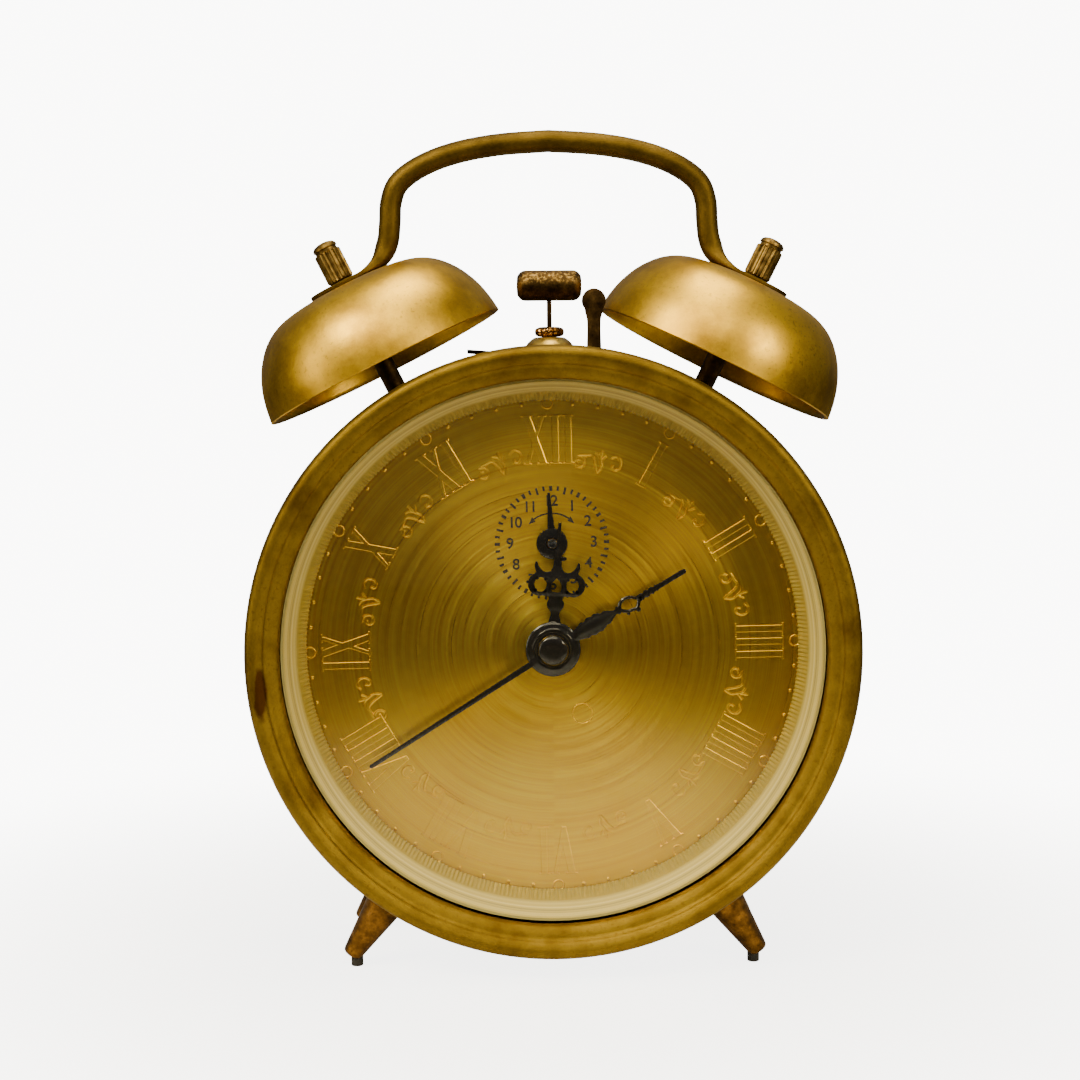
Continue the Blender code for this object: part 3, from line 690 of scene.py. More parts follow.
def hammer_bronze():
    """Cast hammer head, dark below, with bright specks of painted highlight and wear on top."""
    tones = [linear("#2A1E0E"), linear("#4A371B"), linear("#7A5E2E")]
    return aged_metal("hammer_bronze", tones, 2.5, 0.4, (0.36, 0.55), 0.06, 0.4, worn_tops)


def rolled_movement_brass():
    """Rolled clock brass of the plates and wheels, fine-grained and clean."""
    tones = [linear("#A98B45"), linear("#C8A95C"), linear("#D8BC72")]
    return aged_metal("rolled_movement_brass", tones, 10.0, 0.3, (0.26, 0.36), 0.005)


def ground_steel():
    """Ground and polished steel of the arbors and springs."""
    tones = [linear("#85868A"), linear("#A2A3A6"), linear("#B4B5B7")]
    return aged_metal("ground_steel", tones, 6.0, 0.25, (0.2, 0.32), 0.004)


def round_the_axis(tree, at):
    """Nodes for a point's offset from the dial's axis and its distance from it."""
    flat = add_node(
        tree, "VectorMath",
        {"operation": "MULTIPLY_ADD", 1: (1, 0, 1), 2: (0, 0, -AXIS_HEIGHT * MM)}, {0: at},
    )
    radius = add_node(tree, "VectorMath", {"operation": "LENGTH"}, {0: flat})
    return flat, radius


def brushed_dial_brass():
    """Dial brass brushed in circles under clear lacquer, so light spreads out from its centre;
    broad sectors of painted sheen also make its colour lighter or darker by angle.
    """
    tree, made = blank_finish("brushed_dial_brass")
    if tree is None:
        return made
    at = add_node(tree, "TexCoord").outputs["Object"]
    flat, radius = round_the_axis(tree, at)
    outward = add_node(tree, "VectorMath", {"operation": "NORMALIZE"}, {0: flat})
    parts = add_node(tree, "SeparateXYZ", links={0: flat})
    angle = add_node(
        tree, "Math", {"operation": "ARCTAN2"}, {0: parts.outputs["X"], 1: parts.outputs["Z"]}
    )
    # Brush lines are 0.15 mm apart, drawn 0.4 mm apart so that they show, and centimetres long
    across = add_node(
        tree, "Math", {"operation": "MULTIPLY", 1: per_mm(0.4)}, {0: radius.outputs["Value"]}
    )
    along = add_node(tree, "Math", {"operation": "MULTIPLY", 1: 0.5}, {0: angle})
    polar_place = add_node(tree, "CombineXYZ", links={"X": across, "Y": along})
    lines = add_node(
        tree, "TexNoise", {"Scale": 1.0, "Detail": 5.0, "Roughness": 0.72}, {"Vector": polar_place}
    )
    clouds = add_node(tree, "TexNoise", {"Scale": per_mm(26.0), "Detail": 3.0}, {"Vector": at})
    # Painted sheen: broad sectors by angle round the centre shift the colour between a darker and a
    # lighter brass, standing in for the brushing's highlights.
    sheen_angle = add_node(tree, "CombineXYZ", links={"Y": along})
    painted_sheen_sectors = add_node(
        tree, "TexNoise", {"Scale": 0.7, "Detail": 1.0, "Roughness": 0.5}, {"Vector": sheen_angle}
    )
    tone = add_node(
        tree, "ValToRGB",
        {
            "stops": [
                (0.3, linear("#D9B636")), (0.5, colours().dial_brass[:]), (0.7, linear("#E8CC50"))
            ]
        },
        {0: painted_sheen_sectors},
    )
    aged = add_node(
        tree, "Mix", {"data_type": "RGBA", "blend_type": "MULTIPLY", 7: (*linear("#EBCB90"), 1.0)},
        {0: clouds, 6: tone},
    )
    brushed = add_node(
        tree, "Mix", {"data_type": "RGBA", "blend_type": "OVERLAY", 0: 0.55},
        {6: aged.outputs[2], 7: lines},
    )
    roughness = add_node(tree, "MapRange", {1: 0.3, 2: 0.7, 3: 0.26, 4: 0.4}, {0: lines})
    bump = add_node(tree, "Bump", {"Strength": 1.0, "Distance": 0.006 * MM}, {"Height": lines})
    surface(
        tree, {"Metallic": 1.0, "Anisotropic": 0.75},
        {
            "Base Color": brushed.outputs[2], "Roughness": roughness,
            "Normal": bump, "Tangent": outward,
        },
    )
    return made


def mottled_coating(name, low, high, size, detail, rough, relief=0.0):
    """A coat between two tones, its colour, gloss and skin uneven over that many millimetres."""
    tree, made = blank_finish(name)
    if tree is None:
        return made
    at = add_node(tree, "TexCoord").outputs["Object"]
    uneven = add_node(tree, "TexNoise", {"Scale": per_mm(size), "Detail": detail}, {"Vector": at})
    tone = add_node(
        tree, "Mix", {"data_type": "RGBA", 6: (*low, 1.0), 7: (*high, 1.0)},
        {0: uneven},
    )
    roughness = add_node(tree, "MapRange", {3: rough[0], 4: rough[1]}, {0: uneven})
    links = {"Base Color": tone.outputs[2], "Roughness": roughness}
    if relief:
        bump = add_node(tree, "Bump", {"Distance": relief * MM}, {"Height": uneven})
        links["Normal"] = bump
    surface(tree, {}, links)
    return made


def gloss_black_enamel():
    """Stoved gloss enamel on the hands, with faint orange peel."""
    low, high = colours().enamel[:], linear("#191613")
    return mottled_coating("gloss_black_enamel", low, high, 0.8, 2.0, (0.07, 0.18), 0.01)


def printing_ink():
    """Matt black screen-printing ink of the alarm ring."""
    low, high = linear("#120F08"), linear("#2C2412")
    return mottled_coating("printing_ink", low, high, 0.3, 2.0, (0.5, 0.7))


def foot_rubber():
    """Black moulded rubber, matt and slightly dusty."""
    low, high = linear("#0F0E0D"), linear("#2A2722")
    return mottled_coating("foot_rubber", low, high, 0.6, 4.0, (0.7, 0.9), 0.05)


def cream_plastic():
    """Moulded plastic, yellowed with age, with faint streaks round the ring."""
    tree, made = blank_finish("cream_plastic")
    if tree is None:
        return made
    at = add_node(tree, "TexCoord").outputs["Object"]
    radius = round_the_axis(tree, at)[1]
    deep = add_node(tree, "CombineXYZ", links={"X": radius.outputs["Value"]})
    streaks = add_node(
        tree, "TexNoise", {"Scale": per_mm(0.45), "Detail": 3.0, "Roughness": 0.7}, {"Vector": deep}
    )
    grain = add_node(tree, "TexNoise", {"Scale": per_mm(0.4), "Detail": 2.0}, {"Vector": at})
    band = add_node(
        tree, "ValToRGB",
        {
            "stops": [
                (0.38, linear("#8F865C")), (0.5, colours().cream[:]), (0.62, linear("#D8CC8C"))
            ]
        },
        {0: streaks},
    )
    inner = add_node(
        tree, "MapRange", {1: 50.6 * MM, 2: 50.3 * MM, 3: 0.0, 4: 1.0}, {0: radius.outputs["Value"]}
    )
    tone = add_node(
        tree, "Mix", {"data_type": "RGBA", 7: (*linear("#948234"), 1.0)},
        {0: inner, 6: band},
    )
    roughness = add_node(tree, "MapRange", {3: 0.36, 4: 0.5}, {0: grain})
    bump = add_node(tree, "Bump", {"Distance": 0.02 * MM}, {"Height": grain})
    surface(
        tree,
        {
            "Subsurface Weight": 0.1, "Subsurface Radius": (0.001, 0.0008, 0.0005),
            "Subsurface Scale": 0.5
        },
        {"Base Color": tone.outputs[2], "Roughness": roughness, "Normal": bump},
    )
    return made


def clear_crystal_glass():
    """Pressed mineral glass, clear and thin, that lets the lamps through to the dial."""
    tree, made = blank_finish("clear_crystal_glass")
    if tree is None:
        return made
    at = add_node(tree, "TexCoord").outputs["Object"]
    ripple = add_node(tree, "TexNoise", {"Scale": per_mm(12.0), "Detail": 1.0}, {"Vector": at})
    roughness = add_node(tree, "MapRange", {3: 0.0, 4: 0.02}, {0: ripple})
    mirror = add_node(
        tree, "BsdfPrincipled", {"Base Color": (0.97, 0.98, 0.97, 1.0), "Metallic": 1.0},
        {"Roughness": roughness},
    )
    clear = add_node(tree, "BsdfTransparent", {"Color": (0.985, 0.99, 0.98, 1.0)})
    ray = add_node(tree, "LightPath")
    side = add_node(tree, "NewGeometry")
    # Only the outer skin mirrors, so the thin glass doesn't bend or dim what lies behind it
    blocked = add_node(
        tree, "Math", {"operation": "MAXIMUM"},
        {0: ray.outputs["Is Shadow Ray"], 1: side.outputs["Backfacing"]},
    )
    open_side = add_node(tree, "Math", {"operation": "SUBTRACT", 0: 1.0}, {1: blocked})
    sheen = add_node(tree, "Fresnel", {"IOR": 1.45})
    share = add_node(
        tree, "Math", {"operation": "MULTIPLY"}, {0: sheen, 1: open_side}
    )
    mix = add_node(
        tree, "MixShader", links={0: share, 1: clear, 2: mirror}
    )
    add_node(tree, "OutputMaterial", links={"Surface": mix})
    return made


# ---------------------------------------------------------------- case


def make_bezel():
    """The bezel's cove, rolled bead and skirt, turned in one with its lip."""
    bead = through([(55.4, 1.1), (55.9, 0.55), (57.3, 0.0), (58.6, 0.45), (BEZEL_RADIUS, 2.0)], 6)
    cove = through([(52.7, 3.3), (52.95, 2.45), (53.9, 1.8), (54.9, 1.4)], 5)
    skirt = [(BEZEL_RADIUS, 7.6), (BEZEL_RADIUS - 0.4, 8.0), (57.5, 8.0), (57.5, 3.0), (55.6, 2.5)]
    lip = [(53.2, 4.0), (52.7, 3.9)]
    piece = spun("bezel_shell", cove + bead + skirt + lip, CASE, sizes().turn_steps, loop=True)
    complete(piece, aged_case_brass, "root", "aged_brass", "bezel")


def make_drum():
    """The case band, bored for the posts and feet and slotted for the hammer's wire."""
    inner = DRUM_RADIUS - 0.8
    bead = DRUM_RADIUS + 0.2
    rear = DRUM_REAR
    outside = [
        (DRUM_RADIUS, DRUM_FRONT), (DRUM_RADIUS, rear - 2.6), (bead, rear - 2.0), (bead, rear - 0.6)
    ]
    wall = eased(outside + [(DRUM_RADIUS, rear), (inner, rear)], 0.5) + [(inner, DRUM_FRONT)]
    drum = spun("case_band", wall, CASE, sizes().turn_steps, loop=True)
    cutters = [block_cutter((4.9, 1.7, 4.0), TOP @ shift(0, 0, DRUM_RADIUS))]
    for side in (-1, 1):
        cutters.append(pin_cutter(2.0, 4.0, 14.0, bell_seat(side)))
        for row in ("front", "rear"):
            cutters.append(pin_cutter(1.9, 50.0, 60.0, foot_axis(row, side)))
    complete(bored(drum, *cutters), aged_case_brass, "root", "aged_brass", "case_drum")


def foot_axis(row, side):
    """The axis of a foot, pointing up from the middle of the case."""
    word = dict(SIDES)[side]
    low, high = box_mm(f"foot_{row}_{word}")
    place = Vector((0, (low.y + high.y) / 2, AXIS_HEIGHT)) * MM
    return Matrix.Translation(place) @ turn(-side * FOOT_ANGLE, "Y")


def make_feet():
    """Four cones on studs, each on a rubber pad."""
    for row in ("front", "rear"):
        for side, word in SIDES:
            cone = [
                (0, 53.5), (1.5, 53.5), (1.5, 57.3), (4.35, 57.3), (4.3, 58.0), (1.95, 73.3),
                (1.5, 73.7), (0, 73.7)
            ]
            axis = foot_axis(row, side)
            foot = spun(f"foot_cone_{row}_{word}", eased(cone, 0.5, 3), axis, 48)
            low, high = box_mm(f"foot_{row}_{word}")
            pad_profile = eased([(0, -2.6), (1.2, -2.6), (1.2, 0), (0, 0)], 0.25, 3)
            pad_place = Matrix.Translation(Vector((side * PAD_X, (low.y + high.y) / 2, 0)) * MM)
            pad = spun(f"foot_pad_{row}_{word}", pad_profile, pad_place, 32)
            complete(foot, foot_bronze, "root", "dark_bronze", f"foot_{row}_{word}")
            complete(pad, foot_rubber, "root", "dark_bronze")


def make_crystal():
    """The domed glass, of one thickness all over."""
    front = through([(0, 1.0), (13, 1.2), (26, 1.9), (38, 2.95), (46, 3.9), (52.4, 4.85)], 5)
    back = [(radius, depth + 1.15) for radius, depth in reversed(front)]
    piece = spun("crystal_dome", front + back, CASE, sizes().turn_steps)
    complete(piece, clear_crystal_glass, "root", "crystal_glass", "crystal")


def make_reflector():
    """The ring between glass and dial: a smooth band, then fine ribs on its inner slope."""
    ribs = sizes().ring_ribs
    band = [(52.3, 6.35), (51.9, 7.6), (51.5, 8.8), (51.1, 10.0), (50.75, 11.2), (50.4, 12.0)]
    toothed = [(49.95, 12.9), (49.5, 13.8), (49.1, 14.7), (48.9, 15.15)]
    outside = [(51.2, 15.15), (51.5, 12.2), (52.8, 6.35)]
    piece = spun("reflector_ribbed", band + toothed + outside, Matrix(), ribs * 2, loop=True)
    fluted(piece, ribs * 2, 0.9945, lambda radius, depth: 48.5 < radius < 50.2)
    fluted(piece, ribs * 2, 0.9993, lambda radius, depth: 50.3 < radius < 51.5 and depth < 12.1)
    complete(
        placed(softened(piece, 25), CASE), cream_plastic, "root", "cream_ring", "reflector_ring"
    )


def make_back():
    """The rear cover with its turned rim, its holes and the regulator's curved slot."""
    near, far = depths_of("back_cover")
    low, high = box_mm("back_cover")
    edge = (high.x - low.x) / 2
    holes = [
        ring(2.0, 32, centre_of(node)) for node in ("time_winding_arbor", "alarm_winding_arbor")
    ]
    minute_spot = centre_of("time_set_knob")
    holes += [ring(1.5, 32, spot) for spot in (minute_spot, ALARM_CENTRE)]
    holes += [ring(1.3, 24, centre_of(f"cover_screw_{number}")) for number in (1, 2, 3)]
    balance = centre_of("balance_wheel")
    slot = arc(15.4, 111, 159, 16, balance) + arc(12.6, 159, 111, 16, balance)
    plate = sheet_metal(
        "cover_plate", [ring(edge - 0.6, 160), *holes, slot], near + 0.15, far, CASE
    )
    rim = eased([(edge - 1.6, near), (edge, near), (edge, far), (edge - 1.6, far)], 0.3, 3)
    rim = spun("cover_rim", rim, CASE, sizes().turn_steps, loop=True)
    complete(joined("rear_cover", plate, rim), aged_case_brass, "root", "aged_brass", "back_cover")


def make_keys():
    """Two winding keys, each a turned hub with flat sheet wings."""
    for word in ("time", "alarm"):
        x, y = centre_of(f"{word}_winding_arbor")
        near, far = depths_of(f"{word}_key")
        place = CASE @ shift(x, y)
        hub = [
            (0, near), (2.9, near), (2.9, near + 2.5), (2.3, near + 5.0), (2.3, near + 9.0),
            (0, near + 9.6)
        ]
        hub = spun(f"{word}_key_hub", eased(hub, 0.6), place, 48)
        half = [(0, -53.5), (2.4, -53.5), (7.0, -52.2), (10.6, -52.8), (12.3, -55.2), (12.3, -58.8)]
        half += [(10.6, -61.2), (7.0, -far), (2.6, -60.0), (0, -60.0)]
        outline = eased_loop(mirrored(half), 1.6, 5)
        upright = place @ turn(KEY_TURN) @ turn(90, "X")
        wings = sheet_metal(f"{word}_key_wings", [outline], -0.8, 0.8, upright, 0.3)
        key = joined(f"{word}_winding_key", hub, wings)
        complete(key, handle_brass, f"{word}_winder", "aged_brass", f"{word}_key")


def make_knobs():
    """Two setting knobs with knurled rims."""
    for name, body, radius in (
        ("time_set_knob", "minute_wheel_arbor", 5.2), ("alarm_set_knob", "alarm_setter", 5.4)
    ):
        x, y = centre_of(name)
        near, far = depths_of(name)
        profile = [
            (0, near), (2.0, near), (2.0, near + 1.2), (radius - 0.5, near + 1.4),
            (radius, near + 2.0)
        ]
        profile += [
            (radius, near + 3.0), (radius, near + 4.5), (radius, far - 0.6), (radius - 0.6, far),
            (0, far)
        ]
        knob = spun(f"{name}_knurled", profile, Matrix(), 80)
        fluted(knob, 80, 0.955, lambda r, depth: r > 5.0 and depth > near + 1.9)
        complete(
            placed(softened(knob, 25), CASE @ shift(x, y)), nut_brass, body, "aged_brass", name
        )


# ---------------------------------------------------------------- bells, handle and hammer


def make_bells():
    """Two pressed bell domes with rolled lips."""
    for side, word in SIDES:
        crown = [(1.9, 17.7), (8.0, 17.62), (12.6, 17.25), (16.2, 16.3), (19.4, 14.3), (22.2, 11.0)]
        flank = [(24.1, 7.2), (25.1, 3.6), (25.6, 0.15)]
        outer = through(crown + flank, 5)
        inner = [(r - 0.95, z - 0.35) for r, z in reversed(through(crown[2:] + flank, 5))]
        lip = [(25.45, 0.0), (24.8, 0.0)]
        profile = outer + lip + inner[1:] + [(7.6, 16.7), (1.9, 16.7)]
        profile = [(radius, -height) for radius, height in profile]
        piece = spun(f"bell_dome_{word}", profile, bell_seat(side), sizes().turn_steps, loop=True)
        complete(piece, pitted_bell_brass, "root", "bell_brass", f"bell_{word}")


def make_posts():
    """The stepped studs that carry the bells."""
    for side, word in SIDES:
        post = [
            (0, -19.1), (1.5, -19.1), (1.5, -16.4), (2.0, -16.4), (2.0, 5.6), (1.8, 5.9), (1.8, 7.0)
        ]
        post += [(1.5, 7.0), (1.5, 11.0), (0, 11.0)]
        piece = spun(f"bell_stud_{word}", eased(post, 0.15, 2), bell_seat(side), 40)
        complete(piece, patinated_dark_bronze, "root", "dark_bronze", f"bell_post_{word}")


def make_nuts():
    """The fluted nuts that hold the bells and the handle's tabs."""
    flutes = sizes().nut_flutes
    low, top, radius = 19.4, 27.8, 2.75
    for side, word in SIDES:
        profile = [
            (0, -top), (1.2, -top + 0.08), (2.0, -top + 0.35), (2.45, -top + 0.8),
            (2.55, -top + 1.3)
        ]
        profile += [(2.3, -top + 1.5), (2.3, -top + 1.9), (2.65, -top + 2.1), (radius, -top + 2.3)]
        profile += [(radius, -low - 0.5), (radius - 0.2, -low - 0.2), (2.3, -low), (0, -low)]
        nut = spun(f"bell_nut_fluted_{word}", profile, Matrix(), flutes * 4)
        fluted(nut, flutes * 2, 0.9, lambda r, depth: r > 2.6 and -top + 2.2 < depth < -low - 0.3)
        complete(
            placed(softened(nut, 25), bell_seat(side)), nut_brass, "root", "dark_bronze",
            f"bell_nut_{word}"
        )


def handle_station(x, z, heading, half_thick, half_wide, square):
    """One ring of the handle: flat across its thickness, its sides squarer as square grows."""
    points = []
    for step in range(28):
        angle = math.tau * step / 28
        cosine, sine = math.cos(angle), math.sin(angle)
        across = math.copysign(abs(cosine) ** (2 / square), cosine) * half_thick
        wide = math.copysign(abs(sine) ** (2 / square), sine) * half_wide
        height = AXIS_HEIGHT + z + across * math.cos(heading)
        points.append((x - across * math.sin(heading), TOP_Y + wide, height))
    return points


def make_handle():
    """A round bar over the top, swept along its bends and flattened where it meets the bells."""
    tilt = math.radians(BELL_TILT)
    tab_start = (BELL_X + TAB_HEIGHT * math.sin(tilt), BELL_Z + TAB_HEIGHT * math.cos(tilt))
    along = (math.cos(tilt), -math.sin(tilt))
    bar = [
        (0, 100.5), (10.2, 99.8), (18.8, 98.2), (25.4, 95.7), (29.9, 92.4), (31.5, 88.6),
        (31.8, 84.5)
    ]
    bar += [(32.3, 80.6), (34.0, 77.0)]
    tab = [
        (tab_start[0] + along[0] * reach, tab_start[1] + along[1] * reach)
        for reach in (-4.6, -1.5, 2.3)
    ]
    line = through(bar + tab, 7)
    lengths = [0.0]
    for (x0, z0), (x1, z1) in zip(line, line[1:]):
        lengths.append(lengths[-1] + math.hypot(x1 - x0, z1 - z0))
    tab_begin = lengths[-1] - TAB_LENGTH
    stations = []
    for (x, z), (before, after), length in zip(
        line, zip([line[0], *line[:-1]], [*line[1:], line[-1]]), lengths
    ):
        heading = math.atan2(after[1] - before[1], after[0] - before[0])
        share = min(1.0, max(0.0, (length - tab_begin + 5.0) / 8.0))
        share = share * share * (3 - 2 * share)
        half_thick = BAR_RADIUS + (TAB_HALF_THICK - BAR_RADIUS) * share
        half_wide = BAR_RADIUS + (TAB_HALF_WIDE - BAR_RADIUS) * share
        stations.append((x, z, heading, half_thick, half_wide, 2 + 3 * share))
    end = stations[-1]
    for step in range(1, 9):
        angle = math.pi / 2 * step / 8
        reach = TAB_HALF_WIDE * math.sin(angle)
        wide = max(0.25, TAB_HALF_WIDE * math.cos(angle))
        thick = TAB_HALF_THICK if step < 8 else 0.4
        x, z = end[0] + along[0] * reach, end[1] + along[1] * reach
        stations.append((x, z, -tilt, thick, wide, 5))
    right = [handle_station(*station) for station in stations]
    left = [[(-x, y, z) for x, y, z in points] for points in reversed(right[1:])]
    piece = loft("carrying_handle", left + right)
    complete(piece, handle_brass, "root", "aged_brass", "handle")


def wire_slot():
    """The slot that the hammer's wire swings in."""
    return block_cutter((4.9, 1.7, 12.0), TOP @ shift(0, 0, 60.0))


def make_hammer_seat():
    """The dome on the case top and the knurled bush in it, both slotted for the wire."""
    dome = through(
        [(0, -61.5), (2.6, -61.45), (3.5, -61.1), (4.4, -60.3), (5.1, -59.2), (5.3, -58.5)], 4
    )
    boss = spun("hammer_boss_dome", dome + [(3.2, -58.5), (3.2, -57.3), (0, -57.3)], TOP, 64)
    complete(bored(boss, wire_slot()), boss_brass, "root", "aged_brass", "hammer_boss")
    knurl = eased(
        [(0, -63.5), (2.3, -63.5), (2.95, -63.0), (2.95, -62.1), (2.5, -61.6), (0, -61.6)], 0.5, 4
    )
    bush = spun("hammer_bush_knurled", knurl, Matrix(), 72)
    fluted(bush, 36, 0.93, lambda r, depth: r > 2.2 and -63.45 < depth < -61.65)
    bush = bored(placed(bush, TOP), wire_slot())
    complete(softened(bush, 60), copper_bush, "root", "aged_brass", "hammer_bush")


def make_hammer():
    """The turned hammer head and its wire."""
    low, high = box_mm("hammer_head")
    half = (high.x - low.x) / 2
    radius = (high.z - low.z) / 2
    centre = (high.z + low.z) / 2 - AXIS_HEIGHT
    end = [(0, -half), (1.9, -half + 0.1), (2.75, -half + 0.75), (radius, -half + 1.5)]
    profile = eased(end + [(r, -depth) for r, depth in reversed(end)], 0.35, 3)
    head = spun("hammer_head_turned", profile, TOP @ shift(0, 0, centre) @ turn(90, "Y"), 56)
    complete(head, hammer_bronze, "hammer", "dark_bronze", "hammer_head")
    wire_low, wire_high = box_mm("hammer_wire")
    foot = wire_low.z - AXIS_HEIGHT
    top = wire_high.z - AXIS_HEIGHT + 0.6
    stem = wire("hammer_stem", [[(0, 0, foot), (0, 0, (foot + top) / 2), (0, 0, top)]], 0.5, TOP, 3)
    complete(stem, patinated_dark_bronze, "hammer", "dark_bronze", "hammer_wire")


def make_stop_lever():
    """A thin strip under the boss, its right end bent up into a round paddle."""
    low, high = box_mm("stop_lever")
    paddle_x = high.x - 2.4
    paddle_y = low.y + 0.6 - TOP_Y
    right = [(5.0, -3.2), (9.3, -7.4), (9.9, -9.6), (7.3, -9.8), (6.4, -8.2)]
    left = [(-3.4, 3.2), (-16.7, 17.2), (-17.1, 16.9), (-4.4, 1.4)]
    outline = arc(4.6, -30, 118, 30) + left + arc(4.6, 168, 288, 24) + right[::-1]
    strip = sheet_metal("stop_strip", [outline, ring(3.6)], -58.2, -57.3, TOP, 0.12)
    for vertex in strip.data.vertices:
        vertex.co.z += 0.13 * max(0.0, -vertex.co.x - 5.0 * MM)
    stem = [(-1.45, 57.6), (1.45, 57.6), (1.4, 59.6), (1.3, 62.6), (1.35, 64.6), (1.75, 66.0)]
    stem += arc(2.38, -42, 222, 28, (0, 68.2))
    stem += [(-1.75, 66.0), (-1.35, 64.6), (-1.3, 62.6), (-1.4, 59.6)]
    upright = TOP @ shift(paddle_x, paddle_y) @ turn(90, "X")
    paddle = sheet_metal("stop_paddle", [eased_loop(stem, 0.5, 3)], -0.42, 0.42, upright, 0.14)
    foot = [(paddle_x - 1.4, paddle_y), (paddle_x + 1.4, paddle_y)]
    bend = wire("stop_bend", [[(*foot[0], 57.95), (*foot[1], 57.95)]], 0.45, TOP, 3)
    piece = joined("alarm_stop_lever", strip, paddle, bend)
    complete(piece, patinated_dark_bronze, "stop_lever", "dark_bronze", "stop_lever")


# ---------------------------------------------------------------- dial


def serif(left, right, edge, inward):
    """A stroke's end, from its right side to its left."""
    reach, thick = SERIF
    inner = edge + inward * thick
    return [
        (right, inner), (right + reach, inner), (right + reach, edge), (left - reach, edge),
        (left - reach, inner), (left, inner)
    ]


def letter_outline(letter, height):
    """An I, V or X as one outline, its foot on y 0 and its middle on x 0."""
    if letter == "I":
        return serif(-STEM, STEM, 0, 1) + serif(-STEM, STEM, height, -1)[::-1]
    if letter == "V":
        notch = (0.3, height * 0.4)
        thin = serif(1.45, 2.2, height, -1)[::-1]
        thick = serif(-2.25, -0.75, height, -1)[::-1]
        return thick + [notch] + thin + [(0.4, 0), (-0.5, 0)]
    lean, thick, thin = 1.5, 0.75, 0.4
    slope = lean / (height / 2)
    middle = height / 2
    above = ((thick - thin) / 2, middle + (thick + thin) / 2 / slope)
    below = (-(thick - thin) / 2, middle - (thick + thin) / 2 / slope)
    right = ((thick + thin) / 2, middle + (thick - thin) / 2 / slope)
    left = (-(thick + thin) / 2, middle - (thick - thin) / 2 / slope)
    top_left = serif(-lean - thick, -lean + thick, height, -1)[::-1]
    top_right = serif(lean - thin, lean + thin, height, -1)[::-1]
    foot_right = serif(lean - thick, lean + thick, 0, 1)
    foot_left = serif(-lean - thin, -lean + thin, 0, 1)
    return top_left + [above] + top_right + [right] + foot_right + [below] + foot_left + [left]


def on_dial(radius, clock_angle):
    """A frame on the dial's face, its Y outward."""
    return CASE @ turn(DIAL_TURN - clock_angle) @ shift(0, radius, -DIAL_FRONT)


def make_numerals():
    """The raised numerals, each drawn as stems with serifs."""
    height = sizes().numeral_height / MM
    made = []
    for hour, word in enumerate(NUMERALS, 1):
        outlines = []
        start = -sum(LETTER_WIDTHS[letter] for letter in word) / 2
        for letter in word:
            middle = start + LETTER_WIDTHS[letter] / 2
            start += LETTER_WIDTHS[letter]
            outlines.append([(x + middle, y) for x, y in letter_outline(letter, height)])
        place = on_dial(sizes().numeral_foot / MM, hour * 30)
        made.append(sheet_metal(f"numeral_{hour}", outlines, -0.24, 0.2, place, 0.12, 0))
    complete(joined("dial_numerals", *made), brushed_dial_brass, "root", "dial_brass")


def make_ornaments():
    """The raised scroll between two numerals: a curl with a wave, a sprig of leaves and a hook."""
    curl = [polar(0.28 + 0.9 * step / 14, 60 + 34 * step, (-2.75, -0.75)) for step in range(13)]
    wave = [(-1.9, 0.55), (-1.1, 0.75), (-0.45, 0.0), (0.0, -1.1), (0.35, -1.75)]
    sprig = [(0.35, -1.75), (0.75, -0.6), (0.35, 0.5), (0.3, 1.9)]
    leaf = [(-0.75, 1.35), (0.0, 1.05), (0.4, 0.35)]
    other_leaf = [(1.15, 1.25), (0.8, 0.75), (0.45, 0.45)]
    hook = [(1.9, 1.0), (2.7, 1.4), (3.45, 0.9), (3.5, 0.0), (2.9, -0.6), (2.3, -0.35), (2.5, 0.2)]
    lines = [
        through([*curl, *wave], 3), through(sprig, 4), through(leaf, 4), through(other_leaf, 4),
        through(hook, 4)
    ]
    lines = [[(x * 1.3, y * 1.3, 0.0) for x, y in line] for line in lines]
    scroll = wire("dial_ornaments", lines, 0.27, Matrix.Diagonal((1, 1, 0.55, 1)), 2)
    places = [on_dial(sizes().ornament_circle / MM, hour * 30 + 15) for hour in range(12)]
    complete(copies(scroll, places), brushed_dial_brass, "root", "dial_brass")


def make_minute_marks():
    """The raised dots, the hour rings and a small stamped ring below the centre."""
    circle = sizes().minute_circle / MM
    clear_selection()
    bpy.ops.mesh.primitive_uv_sphere_add(segments=10, ring_count=6, radius=0.42 * MM)
    dot = softened(placed(bpy.context.active_object, Matrix.Diagonal((1, 1, 0.6, 1))), 60)
    dot.name = "minute_dots"
    dots = copies(dot, [on_dial(circle, minute * 6) for minute in range(60) if minute % 5])
    clear_selection()
    bpy.ops.mesh.primitive_torus_add(
        major_segments=24, minor_segments=8, major_radius=1.05 * MM, minor_radius=0.19 * MM
    )
    hour_ring = softened(bpy.context.active_object, 60)
    hour_ring.name = "hour_rings"
    rings = copies(hour_ring, [on_dial(circle, hour * 30) for hour in range(12)])
    clear_selection()
    bpy.ops.mesh.primitive_torus_add(
        major_segments=32, minor_segments=8, major_radius=2.0 * MM, minor_radius=0.14 * MM
    )
    stamp = placed(softened(bpy.context.active_object, 60), CASE @ shift(5.8, -13.5, -DIAL_FRONT))
    complete(
        joined("dial_minute_marks", dots, rings, stamp), brushed_dial_brass, "root", "dial_brass"
    )


